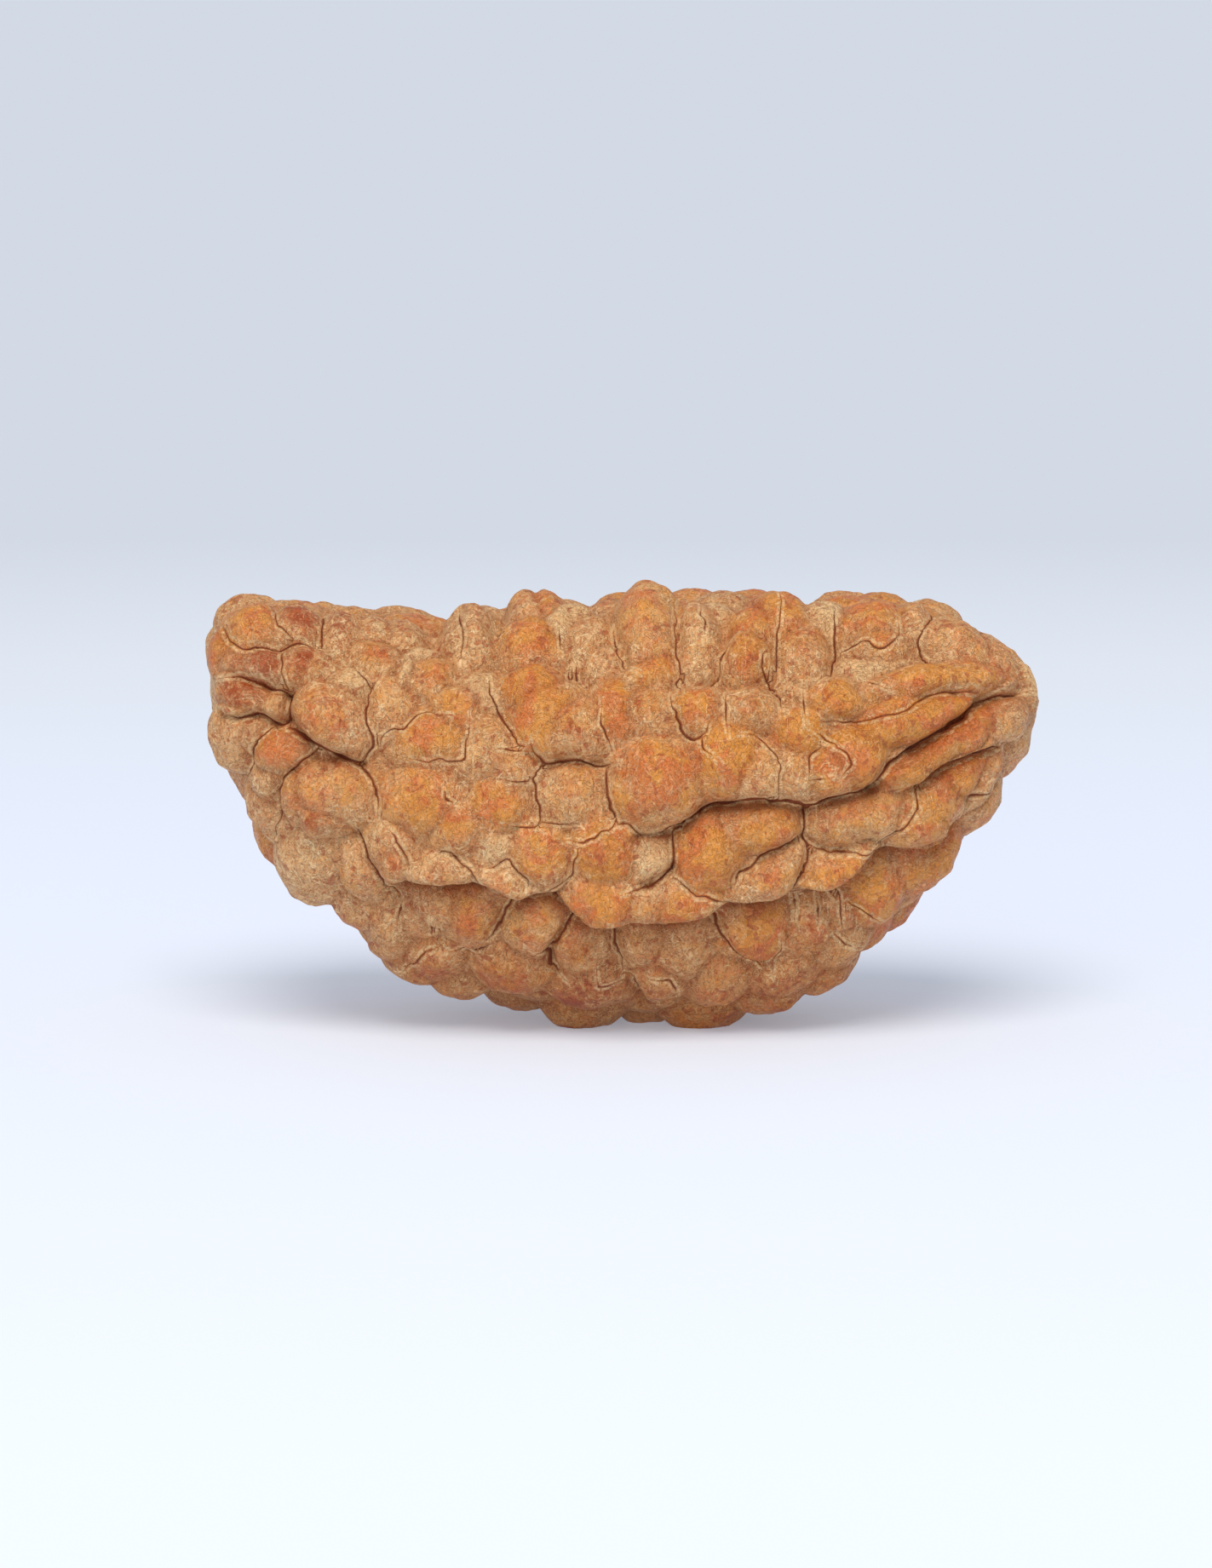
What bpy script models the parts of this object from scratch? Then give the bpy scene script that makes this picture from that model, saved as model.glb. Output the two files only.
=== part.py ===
"""Rudraksha seed of the half-moon kind: one solid stone with a keel below and a blunter deck above.

It is a smooth half-moon body, raised into cushions and cut by furrows, all by formula. Sizes are in
millimetres until the mesh is made. X runs along the seed, Y away from the viewer, Z up, and the origin is
under the middle of the seed, on the plane that it rests on.
"""

import bmesh
import bpy
import numpy as np

# Driving sizes of the finished seed
LENGTH = 27.9
DEPTH = 11.8
HEIGHT = 15.1

# Mesh fineness: segments round the seed and rings from tip to tip of the close net that the formula is
# worked out on, and the triangles that are kept of it
SEGMENTS = 300
RINGS = 300
TRIANGLES = 11600

# The half-moon body under the relief. X_BLUNT is the blunt end and X_STALK the stalk end. Each outline
# gives pairs of place along the seed and height, or half depth.
X_BLUNT, X_STALK = -13.75, 13.9
KEEL = [(-13.75, 11.5), (-13.5, 9.95), (-12.4, 8.45), (-11.2, 5.75), (-9.6, 4.65), (-7.6, 2.7), (-5.0, 1.75),
        (-2.0, 1.0), (1.5, 0.75), (4.5, 1.05), (7.0, 2.15), (9.0, 4.0), (10.7, 6.3), (12.2, 8.58), (13.45, 10.3),
        (13.9, 11.2)]
DECK = [(-13.75, 11.5), (-13.5, 13.4), (-12.0, 14.2), (-9.0, 14.0), (-6.0, 13.8), (-2.0, 13.9), (2.0, 14.4),
        (6.0, 14.3), (9.0, 14.25), (11.0, 13.65), (12.6, 12.4), (13.65, 11.65), (13.9, 11.2)]
HALF_DEPTH = [(-13.75, 0.0), (-13.3, 2.5), (-11.5, 4.0), (-8.0, 4.9), (-3.0, 5.3), (3.0, 5.3), (8.0, 4.8),
              (11.0, 3.7), (13.0, 2.3), (13.9, 0.0)]
KEEL_POWER, DECK_POWER = 2.0, 2.5
CREST_LEAN = 0.7

# The seed's face is read from the front, VIEW_TILT degrees above level and VIEW_DISTANCE away, through
# the point VIEW_CENTRE. "Across" is along X and "up" is square to the line of sight.
VIEW_TILT = 9.5
VIEW_DISTANCE = 270.0
VIEW_CENTRE = (-0.49, 8.21)
MEAN_RELIEF = 0.55

# Cushions on the face: across, up, half length, half width, turn in degrees, height
CUSHIONS = {
    "blunt end": [
        (-13.6, 13.0, 0.55, 0.95, 0, 0.45), (-12.3, 13.6, 1.0, 0.8, 0, 0.85), (-10.8, 13.7, 0.8, 0.85, 0, 0.80),
        (-9.3, 13.5, 0.7, 0.75, 0, 0.75), (-8.2, 13.55, 0.65, 0.45, 0, 0.65), (-7.3, 13.45, 0.65, 0.55, 0, 0.65),
        (-11.9, 12.25, 0.75, 0.5, -12, 0.70), (-12.85, 12.3, 0.5, 0.4, -10, 0.48),
        (-10.65, 12.2, 0.8, 0.7, 0, 0.75), (-13.0, 11.25, 0.8, 0.62, -8, 0.58),
        (-11.65, 10.95, 0.5, 0.55, 0, 0.60), (-9.9, 10.5, 1.55, 1.15, -32, 1.10), (-9.2, 11.5, 0.85, 0.6, 0, 0.75),
        (-8.3, 12.45, 0.8, 0.6, 0, 0.80), (-7.8, 11.1, 0.75, 1.0, 0, 0.60), (-13.3, 9.55, 0.7, 1.0, 8, 0.75),
        (-12.7, 9.7, 0.5, 0.7, 10, 0.65), (-11.55, 9.35, 0.9, 0.85, 0, 0.90), (-12.1, 8.15, 0.6, 0.6, 0, 0.60),
        (-12.3, 7.15, 0.8, 0.7, -45, 0.60), (-9.8, 7.95, 1.6, 1.2, 0, 0.95), (-11.0, 7.7, 0.75, 0.95, 0, 0.70),
        (-10.2, 7.0, 0.55, 0.5, 0, 0.92),
    ],
    "lower left": [
        (-10.7, 5.35, 1.35, 1.35, 0, 0.85), (-8.95, 4.9, 0.7, 0.85, 20, 0.60), (-9.1, 3.7, 0.75, 0.5, -35, 0.45),
        (-7.95, 2.75, 0.7, 0.85, 0, 0.60), (-6.9, 3.3, 0.7, 0.7, 0, 0.40), (-6.2, 3.85, 0.9, 0.75, 0, 0.62),
        (-5.15, 3.4, 0.95, 1.0, 0, 0.70), (-6.4, 1.9, 1.1, 0.65, -10, 0.50), (-7.75, 6.0, 0.9, 1.1, 0, 0.60),
        (-7.6, 5.4, 0.4, 0.4, 0, 0.72), (-6.0, 5.3, 1.1, 0.5, 0, 0.75), (-4.0, 4.85, 1.0, 0.6, -20, 0.80),
        (-3.1, 3.15, 1.1, 1.05, 0, 0.72), (-1.5, 2.5, 0.85, 1.0, 0, 0.62), (-3.9, 1.5, 1.3, 0.65, -10, 0.50),
        (-1.3, 0.9, 1.45, 0.7, 0, 0.62),
    ],
    "middle left": [
        (-6.8, 7.5, 1.4, 1.1, 0, 0.90), (-5.4, 6.6, 0.9, 0.8, 0, 0.85), (-4.2, 7.4, 1.0, 0.95, 0, 0.82),
        (-4.4, 6.1, 0.9, 0.6, -20, 0.62), (-6.4, 9.7, 1.25, 0.95, 0, 0.82), (-5.5, 10.8, 0.85, 0.75, 0, 0.85),
        (-6.3, 11.9, 0.65, 0.6, 0, 0.82), (-4.6, 9.4, 0.9, 1.1, -25, 0.85), (-4.8, 11.3, 0.7, 0.7, 0, 0.60),
        (-3.5, 8.7, 0.65, 0.6, 0, 0.72), (-2.7, 5.8, 1.05, 0.95, 0, 0.85), (-1.7, 7.85, 1.2, 1.1, 0, 0.80),
        (-0.5, 5.75, 1.05, 1.05, 0, 0.98), (-0.7, 4.2, 1.3, 0.85, 0, 0.95), (0.95, 5.6, 0.65, 0.85, 0, 0.70),
    ],
    "middle right": [
        (1.1, 8.3, 1.65, 1.65, 0, 1.30), (3.3, 9.1, 1.1, 1.15, 0, 1.30),
        (4.5, 8.5, 0.8, 0.9, 0, 1.05), (2.75, 5.7, 1.15, 1.2, 0, 0.98), (4.7, 6.7, 1.35, 0.85, 12, 0.98),
        (5.0, 5.0, 1.35, 0.6, 38, 0.88), (2.2, 4.15, 1.2, 0.65, 8, 0.85), (0.7, 4.1, 0.8, 0.55, 0, 0.78),
        (7.9, 7.1, 1.8, 0.85, 12, 1.02), (7.2, 5.2, 1.3, 0.55, 16, 0.88), (5.9, 9.9, 0.9, 0.7, 0, 1.10),
        (5.8, 8.6, 0.7, 0.8, 0, 1.00), (6.85, 8.7, 0.75, 0.72, 0, 1.12),
    ],
    "stalk end": [
        (10.6, 11.75, 2.9, 0.60, 12, 0.85), (7.1, 11.0, 0.8, 0.65, 0, 1.00), (9.3, 10.2, 2.9, 0.80, 21, 1.05),
        (7.6, 9.3, 1.2, 0.9, 20, 1.15), (11.0, 9.6, 2.5, 0.65, 29, 0.88), (12.9, 10.6, 0.9, 0.8, 30, 0.80),
        (9.5, 8.55, 1.1, 0.5, 25, 0.92), (11.5, 8.5, 1.7, 0.65, 38, 0.75), (10.4, 7.3, 1.2, 1.0, 38, 0.98),
        (12.3, 8.3, 0.8, 0.5, 50, 0.50), (12.2, 7.4, 0.85, 0.65, 55, 0.50), (10.8, 5.7, 1.1, 0.65, 10, 0.50),
        (8.4, 12.3, 1.4, 0.5, 8, 0.35), (13.4, 11.2, 0.5, 0.5, 0, 0.45),
    ],
    "crest": [
        (-5.0, 13.6, 0.85, 0.8, 0, 1.10), (-2.9, 14.2, 1.1, 0.85, 0, 1.22), (-3.0, 13.2, 0.95, 0.7, 0, 1.05),
        (-2.1, 13.7, 0.85, 0.8, -30, 0.95), (-1.2, 13.4, 0.7, 0.7, -20, 0.70), (-2.6, 10.6, 1.5, 1.5, 0, 1.05),
        (-3.0, 11.5, 1.0, 0.75, 0, 0.98), (-1.7, 10.1, 1.0, 0.85, 0, 1.02), (-0.25, 10.75, 0.8, 0.9, 0, 0.98),
        (1.0, 10.6, 0.75, 0.6, 0, 0.80), (2.45, 10.6, 0.78, 0.72, 0, 0.85), (4.2, 10.7, 0.85, 0.65, 0, 0.80),
        (0.9, 12.0, 0.85, 0.55, 0, 0.75), (-0.6, 12.35, 0.55, 0.55, 0, 0.60), (0.8, 13.9, 1.05, 1.35, 0, 1.40),
        (2.4, 13.4, 0.8, 1.35, 0, 0.90), (3.05, 14.2, 0.7, 0.4, 0, 0.55), (4.3, 13.4, 0.85, 1.3, 0, 0.85),
        (5.4, 14.1, 1.0, 0.75, 0, 1.12), (6.0, 12.8, 0.9, 1.15, 0, 0.75), (8.3, 13.8, 1.3, 0.8, 0, 0.90),
        (8.6, 13.1, 0.8, 0.45, 0, 0.78), (9.7, 13.9, 0.65, 0.6, 0, 0.80),
        (11.2, 13.2, 1.3, 0.75, -20, 0.85), (12.5, 12.7, 0.9, 0.55, -38, 0.72),
    ],
    "lower right": [
        (0.6, 2.6, 0.75, 0.8, 0, 0.60), (2.1, 2.3, 1.0, 1.05, 0, 0.66), (3.2, 1.05, 1.2, 0.75, 0, 0.62),
        (1.2, 1.2, 0.85, 0.6, 0, 0.50), (4.55, 2.8, 1.2, 1.05, 0, 0.66), (6.5, 2.9, 0.9, 1.1, 0, 0.55),
        (8.8, 4.1, 1.05, 1.05, 40, 0.62), (7.6, 3.6, 0.7, 0.8, 0, 0.45), (5.6, 1.5, 1.1, 0.6, 25, 0.50),
        (7.4, 2.4, 0.9, 0.7, 30, 0.45),
    ],
}

# Cushions of the underside, in the same measures but read from below: along, away from the viewer. The first
# four are the feet.
UNDERSIDE = [
    (-1.4, -1.0, 1.3, 0.9, 10, 0.92), (-1.2, 1.1, 1.2, 0.9, -10, 0.92), (2.7, -1.0, 1.4, 0.9, -5, 0.82),
    (2.9, 1.1, 1.3, 0.9, 5, 0.82), (0.7, 0.1, 0.9, 1.1, 0, 0.55), (-3.6, 0.2, 1.1, 1.2, 0, 0.65),
    (5.0, 0.2, 1.0, 1.2, 0, 0.60),
]

# Furrows on the face: how deep, how far the side above stands over the side below, and the places across
# and up that the furrow passes
FURROWS = {
    "brow": (0.45, 0.45, [(0.6, 6.5), (1.5, 6.5), (2.4, 7.0), (3.2, 7.45), (4.2, 7.6), (5.3, 7.55), (6.1, 7.35),
                          (7.0, 7.6), (8.0, 7.9), (8.5, 8.1)]),
    "ledge left": (0.45, 0.40, [(-7.4, 4.6), (-6.6, 4.7), (-6.0, 4.6), (-5.0, 4.72), (-4.4, 4.68), (-3.6, 4.15),
                                (-2.9, 4.3), (-2.4, 4.28), (-1.7, 3.75), (-1.2, 3.35), (-0.3, 3.35)]),
    "ledge right": (0.40, 0.45, [(-0.3, 3.35), (0.6, 3.45), (1.5, 3.35), (2.9, 3.65), (3.6, 4.02), (5.1, 4.1),
                                 (5.8, 4.5), (7.0, 4.62), (7.9, 5.2), (8.6, 5.8)]),
    "ledge stalk": (0.30, 0.40, [(8.7, 5.78), (9.8, 5.75), (10.7, 6.1), (11.3, 6.8)]),
    "shoulder": (0.40, 0.35, [(-11.2, 11.35), (-11.15, 10.5), (-10.5, 9.65), (-9.4, 9.1), (-8.7, 8.9)]),
    "shoulder right": (0.22, 0.05, [(-8.7, 8.9), (-8.35, 9.7), (-8.6, 10.35), (-8.4, 11.4)]),
    "blunt groove": (0.32, 0.20, [(-13.0, 11.85), (-12.0, 11.6), (-11.2, 11.4)]),
    "blunt notch": (0.32, 0.20, [(-13.6, 10.6), (-12.95, 10.35), (-12.2, 10.52), (-11.6, 10.25), (-11.2, 10.4)]),
    "blunt fork": (0.25, 0.0, [(-11.75, 10.1), (-12.5, 9.3), (-12.95, 8.1)]),
    "cheek top": (0.30, 0.08, [(-11.7, 7.6), (-11.5, 8.3), (-10.8, 8.8), (-10.3, 9.25)]),
    "cheek left": (0.28, 0.0, [(-11.7, 7.6), (-11.65, 7.0), (-11.85, 6.35)]),
    "cheek right": (0.26, 0.0, [(-8.9, 8.78), (-8.4, 8.1), (-8.2, 7.35)]),
    "jaw": (0.25, 0.0, [(-9.1, 6.25), (-8.5, 5.5), (-8.2, 4.6), (-7.8, 4.15)]),
    "finger top": (0.20, 0.15, [(6.8, 10.3), (9.0, 10.5), (10.2, 11.15), (11.5, 11.37), (12.0, 11.2)]),
    "finger middle": (0.48, 0.30, [(8.45, 8.15), (8.9, 8.85), (10.4, 9.8), (11.6, 10.6), (12.1, 11.1), (13.3, 11.4)]),
    "finger low": (0.36, 0.25, [(9.95, 8.1), (10.8, 8.7), (11.8, 9.1), (12.6, 9.4)]),
    "cushion seam": (0.30, 0.0, [(6.1, 7.3), (6.1, 6.3), (6.25, 5.9), (5.8, 4.8)]),
    "cushion fold": (0.28, 0.12, [(3.9, 5.1), (4.5, 5.45), (4.9, 5.85), (5.9, 6.3)]),
    "pit": (0.35, 0.0, [(0.7, 4.65), (1.3, 4.95), (1.7, 5.2)]),
    "crest slit left": (0.28, 0.0, [(-4.4, 11.7), (-4.2, 10.9), (-3.5, 9.5)]),
    "crest slit low": (0.30, 0.20, [(-3.0, 9.3), (-2.6, 8.95), (-1.6, 9.05), (-0.55, 8.85)]),
    "crest slit 1": (0.26, 0.0, [(-5.4, 13.8), (-5.35, 12.8)]),
    "crest slit 2": (0.26, 0.0, [(-0.5, 13.9), (-0.25, 13.1), (0.15, 12.2)]),
    "crest slit 3": (0.26, 0.0, [(1.83, 14.2), (1.85, 13.0), (1.85, 11.7)]),
    "crest slit 4": (0.26, 0.0, [(3.55, 13.8), (3.4, 12.7), (3.2, 12.0), (2.75, 11.5)]),
    "crest slit 5": (0.28, 0.0, [(6.85, 13.6), (7.05, 12.8), (7.0, 12.0)]),
    "low slit 1": (0.28, 0.0, [(-3.7, 4.0), (-4.15, 3.3), (-4.45, 2.7)]),
    "low slit 2": (0.32, 0.0, [(-1.6, 3.5), (-2.55, 2.3), (-2.4, 1.6)]),
    "low slit 3": (0.30, 0.0, [(-0.33, 3.3), (-0.3, 2.5), (-0.05, 1.8)]),
    "low slit 4": (0.24, 0.0, [(3.05, 3.6), (3.5, 2.6), (4.1, 1.95), (5.0, 1.9)]),
    "foot notch": (0.30, 0.0, [(0.35, 1.3), (0.6, 0.8), (0.7, 0.3)]),
}
# Furrows of the back, in the same measures, as they would show through the seed from the front. The mouth
# line is the one line that a stone of this kind carries from tip to tip.
BACK_FURROWS = {
    "mouth line": (0.55, 0.0, [(-12.0, 12.9), (-8.0, 12.7), (-3.0, 12.9), (2.0, 13.0), (7.0, 12.9), (12.0, 12.0)]),
    "back brow": (0.40, 0.45, [(-9.8, 8.8), (-6.5, 7.7), (-3.0, 7.2), (0.5, 7.7), (4.0, 7.3), (8.0, 8.3),
                               (10.8, 9.5)]),
    "back ledge": (0.40, 0.40, [(-7.2, 4.6), (-4.0, 3.9), (-1.0, 3.6), (3.0, 4.1), (6.5, 4.7), (9.0, 6.1)]),
    "back finger": (0.30, 0.20, [(6.0, 10.0), (9.0, 10.5), (11.9, 11.1)]),
    "back shoulder": (0.32, 0.25, [(-11.9, 10.5), (-9.5, 10.2), (-6.8, 10.9)]),
}
FURROW_WIDTH = 0.16
LIP_REACH = 1.1

# Cushions that the face doesn't show are scattered by a seeded rule
HIDDEN_SEED = 7
HIDDEN_TRIES = 4000
HIDDEN_SPACING = 1.7
HIDDEN_SIZE = (0.85, 1.45)
HIDDEN_HEIGHT = (0.6, 1.0)
HIDDEN_EDGE = -0.35

# How cushions meet: DOME_DROP is the fall from crown to edge of a cushion of half size 1, a higher
# SHARPNESS gives a sharper valley, and VALLEY is the height of the body between them. A crease of
# CREASE_DEPTH runs where two cushions are level with each other.
DOME_DROP = 0.55
SHARPNESS = 9.0
CREASE_DEPTH, CREASE_WIDTH = 0.10, 0.08
VALLEY = -0.15
REST_CUT = 0.25

MILLIMETRE = 0.001


def smooth_line(points, at):
    """A cubic curve through pairs of place and value, read at the places given. The places are turned into
    the angle of the ring there, so that the curve closes roundly at both ends."""
    x, value = np.array(points, float).T
    ring = ring_angle(x)
    slope = np.gradient(value, ring)
    i = np.clip(np.searchsorted(ring, at) - 1, 0, len(ring) - 2)
    step = ring[i + 1] - ring[i]
    t = (at - ring[i]) / step
    return (
        value[i] * (1 + 2 * t) * (1 - t) ** 2
        + slope[i] * step * t * (1 - t) ** 2
        + value[i + 1] * t * t * (3 - 2 * t)
        - slope[i + 1] * step * t * t * (1 - t)
    )


def ring_angle(x):
    """The angle, from 0 at the blunt end to pi at the stalk end, of the ring at place x."""
    share = (np.asarray(x, float) - X_BLUNT) / (X_STALK - X_BLUNT)
    return np.arccos(np.clip(1 - 2 * share, -1, 1))


def body(ring, turn):
    """Points of the smooth half-moon. turn goes round from the keel (0) by the face (90 degrees) and the
    deck (180) to the back (270). Each section is a superellipse, squarer on the deck side."""
    x = X_BLUNT + (X_STALK - X_BLUNT) * (1 - np.cos(ring)) / 2
    keel = smooth_line(KEEL, ring)
    deck = smooth_line(DECK, ring)
    half_depth = smooth_line(HALF_DEPTH, ring)
    power = np.where(np.cos(turn) > 0, KEEL_POWER, DECK_POWER)
    rise = -np.sign(np.cos(turn)) * np.abs(np.cos(turn)) ** (2 / power)
    out = -np.sign(np.sin(turn)) * np.abs(np.sin(turn)) ** (2 / power)
    z = (keel + deck) / 2 + rise * (deck - keel) / 2
    y = out * half_depth + CREST_LEAN * np.clip(rise, 0, 1) ** 2 * np.sin(ring)
    return np.stack([x, y, z], axis=-1)


def body_normals(ring, turn):
    """Outward normals of the body, from its slopes a small step each way."""
    step = 0.004
    safe = np.clip(ring, 2 * step, np.pi - 2 * step)
    along = body(safe + step, turn) - body(safe - step, turn)
    round_ = body(safe, turn + step) - body(safe, turn - step)
    normal = np.cross(along, round_)
    return normal / np.linalg.norm(normal, axis=-1, keepdims=True)


def view_axes():
    """The directions across, up and away of the view of the face."""
    tilt = np.radians(VIEW_TILT)
    across = np.array([1.0, 0.0, 0.0])
    up = np.array([0.0, np.sin(tilt), np.cos(tilt)])
    away = np.array([0.0, np.cos(tilt), -np.sin(tilt)])
    return across, up, away


def seen(points):
    """Where points show in the view of the face: across and up."""
    across, up, away = view_axes()
    centre = VIEW_CENTRE[0] * across + VIEW_CENTRE[1] * up
    from_eye = points - (centre - VIEW_DISTANCE * away)
    nearness = VIEW_DISTANCE / (from_eye @ away)
    return np.stack(
        [VIEW_CENTRE[0] + (from_eye @ across) * nearness, VIEW_CENTRE[1] + (from_eye @ up) * nearness], axis=-1
    )


def side_net(facing):
    """A close net of body points on one side, with their normals and the places where they show once the mean
    relief is on. facing is -1 for the face, which looks at the viewer, and 1 for the back."""
    ring, turn = np.meshgrid(np.linspace(0.02, np.pi - 0.02, 320), np.linspace(0, 2 * np.pi, 400), indexing="ij")
    ring, turn = ring.ravel(), turn.ravel()
    points = body(ring, turn)
    normals = body_normals(ring, turn)
    chosen = facing * (normals @ view_axes()[2]) > -0.02
    points, normals = points[chosen], normals[chosen]
    return points, normals, seen(points + MEAN_RELIEF * normals)


def on_side(places, net):
    """The body point under each place (across, up) of the side that the net covers, and its normal."""
    points, normals, shown = net
    gap = ((np.asarray(places, float)[:, None, :] - shown[None]) ** 2).sum(axis=-1)
    nearest = gap.argmin(axis=1)
    return points[nearest], normals[nearest]


def cushion_frames(normals):
    """Two directions in the surface at each normal: one mostly along the seed, one mostly up or down."""
    first = np.array([1.0, 0.0, 0.0]) - normals[:, :1] * normals
    first /= np.linalg.norm(first, axis=1, keepdims=True)
    return first, np.cross(normals, first)


def placed_cushions(listed, net, up):
    """Listed cushions on the side that the net covers. Their read sizes are stretched by how much the surface
    slants there, seen with X to the right and the given direction up."""
    centres, normals = on_side([row[:2] for row in listed], net)
    first, second = cushion_frames(normals)
    stretch_first = 1 / np.clip(np.abs(first[:, 0]), 0.5, 1)
    stretch_second = 1 / np.clip(np.abs(second @ up), 0.5, 1)
    return [
        (centre, normal, row[2] * wide, row[3] * high, row[4], row[5])
        for centre, normal, row, wide, high in zip(centres, normals, listed, stretch_first, stretch_second)
    ]


def underside_net():
    """A close net of body points that face down, with their normals and their places seen from below."""
    ring, turn = np.meshgrid(np.linspace(0.5, 2.6, 200), np.linspace(-1.2, 1.2, 120), indexing="ij")
    ring, turn = ring.ravel(), turn.ravel()
    points = body(ring, turn)
    return points, body_normals(ring, turn), points[:, :2]


def hidden_cushions(taken):
    """Cushions where the face's own ones leave room: seeded tries, kept when no other is too near."""
    draw = np.random.default_rng(HIDDEN_SEED)
    ring = np.arccos(draw.uniform(-0.97, 0.97, HIDDEN_TRIES))
    turn = draw.uniform(0, 2 * np.pi, HIDDEN_TRIES)
    tries = body(ring, turn)
    normals = body_normals(ring, turn)
    facing_away = normals @ view_axes()[2]
    sizes = draw.uniform(*HIDDEN_SIZE, (HIDDEN_TRIES, 2))
    turns = draw.uniform(0, 180, HIDDEN_TRIES)
    heights = draw.uniform(*HIDDEN_HEIGHT, HIDDEN_TRIES) * np.clip(0.5 + 0.8 * facing_away, 0, 1)
    kept = list(taken)
    rows = []
    for i in np.flatnonzero(facing_away > HIDDEN_EDGE):
        if min(np.linalg.norm(tries[i] - k) for k in kept) > HIDDEN_SPACING:
            kept.append(tries[i])
            rows.append((tries[i], normals[i], sizes[i, 0], sizes[i, 1], turns[i], heights[i]))
    return rows


def cushion_height(points, rows):
    """Height of the cushions over the body. Each is a dome: its height less a drop that grows as the square
    of the distance from its centre over its size. The domes join by a soft maximum, and a crease is cut where
    the highest two are level."""
    total = np.full(len(points), np.exp(SHARPNESS * VALLEY))
    highest = np.full(len(points), VALLEY)
    second_highest = np.full(len(points), VALLEY - 1.0)
    first, second = cushion_frames(np.array([row[1] for row in rows]))
    for (centre, normal, length, width, turn, height), along, side in zip(rows, first, second):
        cos, sin = np.cos(np.radians(turn)), np.sin(np.radians(turn))
        offset = points - centre
        a, b, deep = offset @ along, offset @ side, offset @ normal
        far = ((a * cos + b * sin) / length) ** 2 + ((b * cos - a * sin) / width) ** 2
        far += (deep / (2.5 * min(length, width))) ** 2
        drop = DOME_DROP * np.sqrt(length * width) * (0.3 + 0.7 * height)
        dome = np.clip(height - drop * far, -3, None)
        total += np.exp(SHARPNESS * dome)
        second_highest = np.maximum(second_highest, np.minimum(highest, dome))
        highest = np.maximum(highest, dome)
    crease = np.exp(-(highest - second_highest) / CREASE_WIDTH)
    return np.log(total) / SHARPNESS - CREASE_DEPTH * crease


def furrow_height(points, furrows, net):
    """What the furrows take off, with the lip that the side above gets and the side below loses. The lip
    fades with distance, and swings from one side to the other round the furrow's ends."""
    up = view_axes()[1]
    change = np.zeros(len(points))
    for depth, lip, places in furrows.values():
        line, _ = on_side(places, net)
        nearest = np.full(len(points), np.inf)
        above = np.zeros(len(points))
        for start, end in zip(line[:-1], line[1:]):
            run = end - start
            t = np.clip((points - start) @ run / (run @ run), 0, 1)
            offset = points - (start + t[:, None] * run)
            distance = np.linalg.norm(offset, axis=1)
            closer = distance < nearest
            nearest[closer] = distance[closer]
            above[closer] = (offset @ up)[closer]
        side = above / np.sqrt(nearest**2 + FURROW_WIDTH**2)
        change += lip * side * np.exp(-nearest / LIP_REACH) - depth * np.exp(-((nearest / FURROW_WIDTH) ** 2))
    return change


def seed_points(ring, turn):
    """The finished surface: the body, raised along its normals by cushions and furrows."""
    points = body(ring, turn)
    face, back = side_net(-1), side_net(1)
    listed = placed_cushions([row for group in CUSHIONS.values() for row in group], face, view_axes()[1])
    listed += placed_cushions(UNDERSIDE, underside_net(), np.array([0.0, 1.0, 0.0]))
    height = cushion_height(points, listed + hidden_cushions([row[0] for row in listed]))
    height += furrow_height(points, FURROWS, face) + furrow_height(points, BACK_FURROWS, back)
    return points + height[:, None] * body_normals(ring, turn)


def net_faces(rings, segments):
    """Faces of a net closed by one vertex at each end: the first end's vertex, the rings, the last end's."""
    first, last = 0, 1 + rings * segments
    row = np.arange(segments)
    after = (row + 1) % segments
    start = 1 + np.arange(rings - 1)[:, None] * segments
    quads = np.stack([start + row, start + after, start + segments + after, start + segments + row], axis=-1)
    ends = [(first, 1 + j, 1 + i) for i, j in zip(row, after)]
    top = last - segments
    return ends + quads.reshape(-1, 4).tolist() + [(last, top + i, top + j) for i, j in zip(row, after)]


def fine_surface(rings, segments):
    """The seed in millimetres on a close net, sized to LENGTH, DEPTH and HEIGHT, with its rest plane at 0."""
    ring, turn = np.meshgrid(
        np.linspace(0, np.pi, rings + 2)[1:-1], np.linspace(0, 2 * np.pi, segments, endpoint=False), indexing="ij"
    )
    ring = np.concatenate([[0.0], ring.ravel(), [np.pi]])
    turn = np.concatenate([[0.0], turn.ravel(), [0.0]])
    points = seed_points(ring, turn)
    low, high = points.min(axis=0), points.max(axis=0)
    low[2] += REST_CUT
    scale = np.array([LENGTH, DEPTH, HEIGHT]) / (high - low)
    middle = (low + high) / 2
    return (points - [middle[0], middle[1], low[2]]) * scale, net_faces(rings, segments)


def thinned(points, faces):
    """The net with fewer triangles, fewest where the surface is even."""
    net = bpy.data.meshes.new("close_net")
    net.from_pydata((points * MILLIMETRE).tolist(), [], faces)
    holder = bpy.data.objects.new("close_net", net)
    bpy.context.scene.collection.objects.link(holder)
    thin = holder.modifiers.new("thin", "DECIMATE")
    thin.ratio = TRIANGLES / (2 * len(points) - 4)
    result = bmesh.new()
    result.from_object(holder, bpy.context.evaluated_depsgraph_get())
    bpy.data.objects.remove(holder)
    return result


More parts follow.
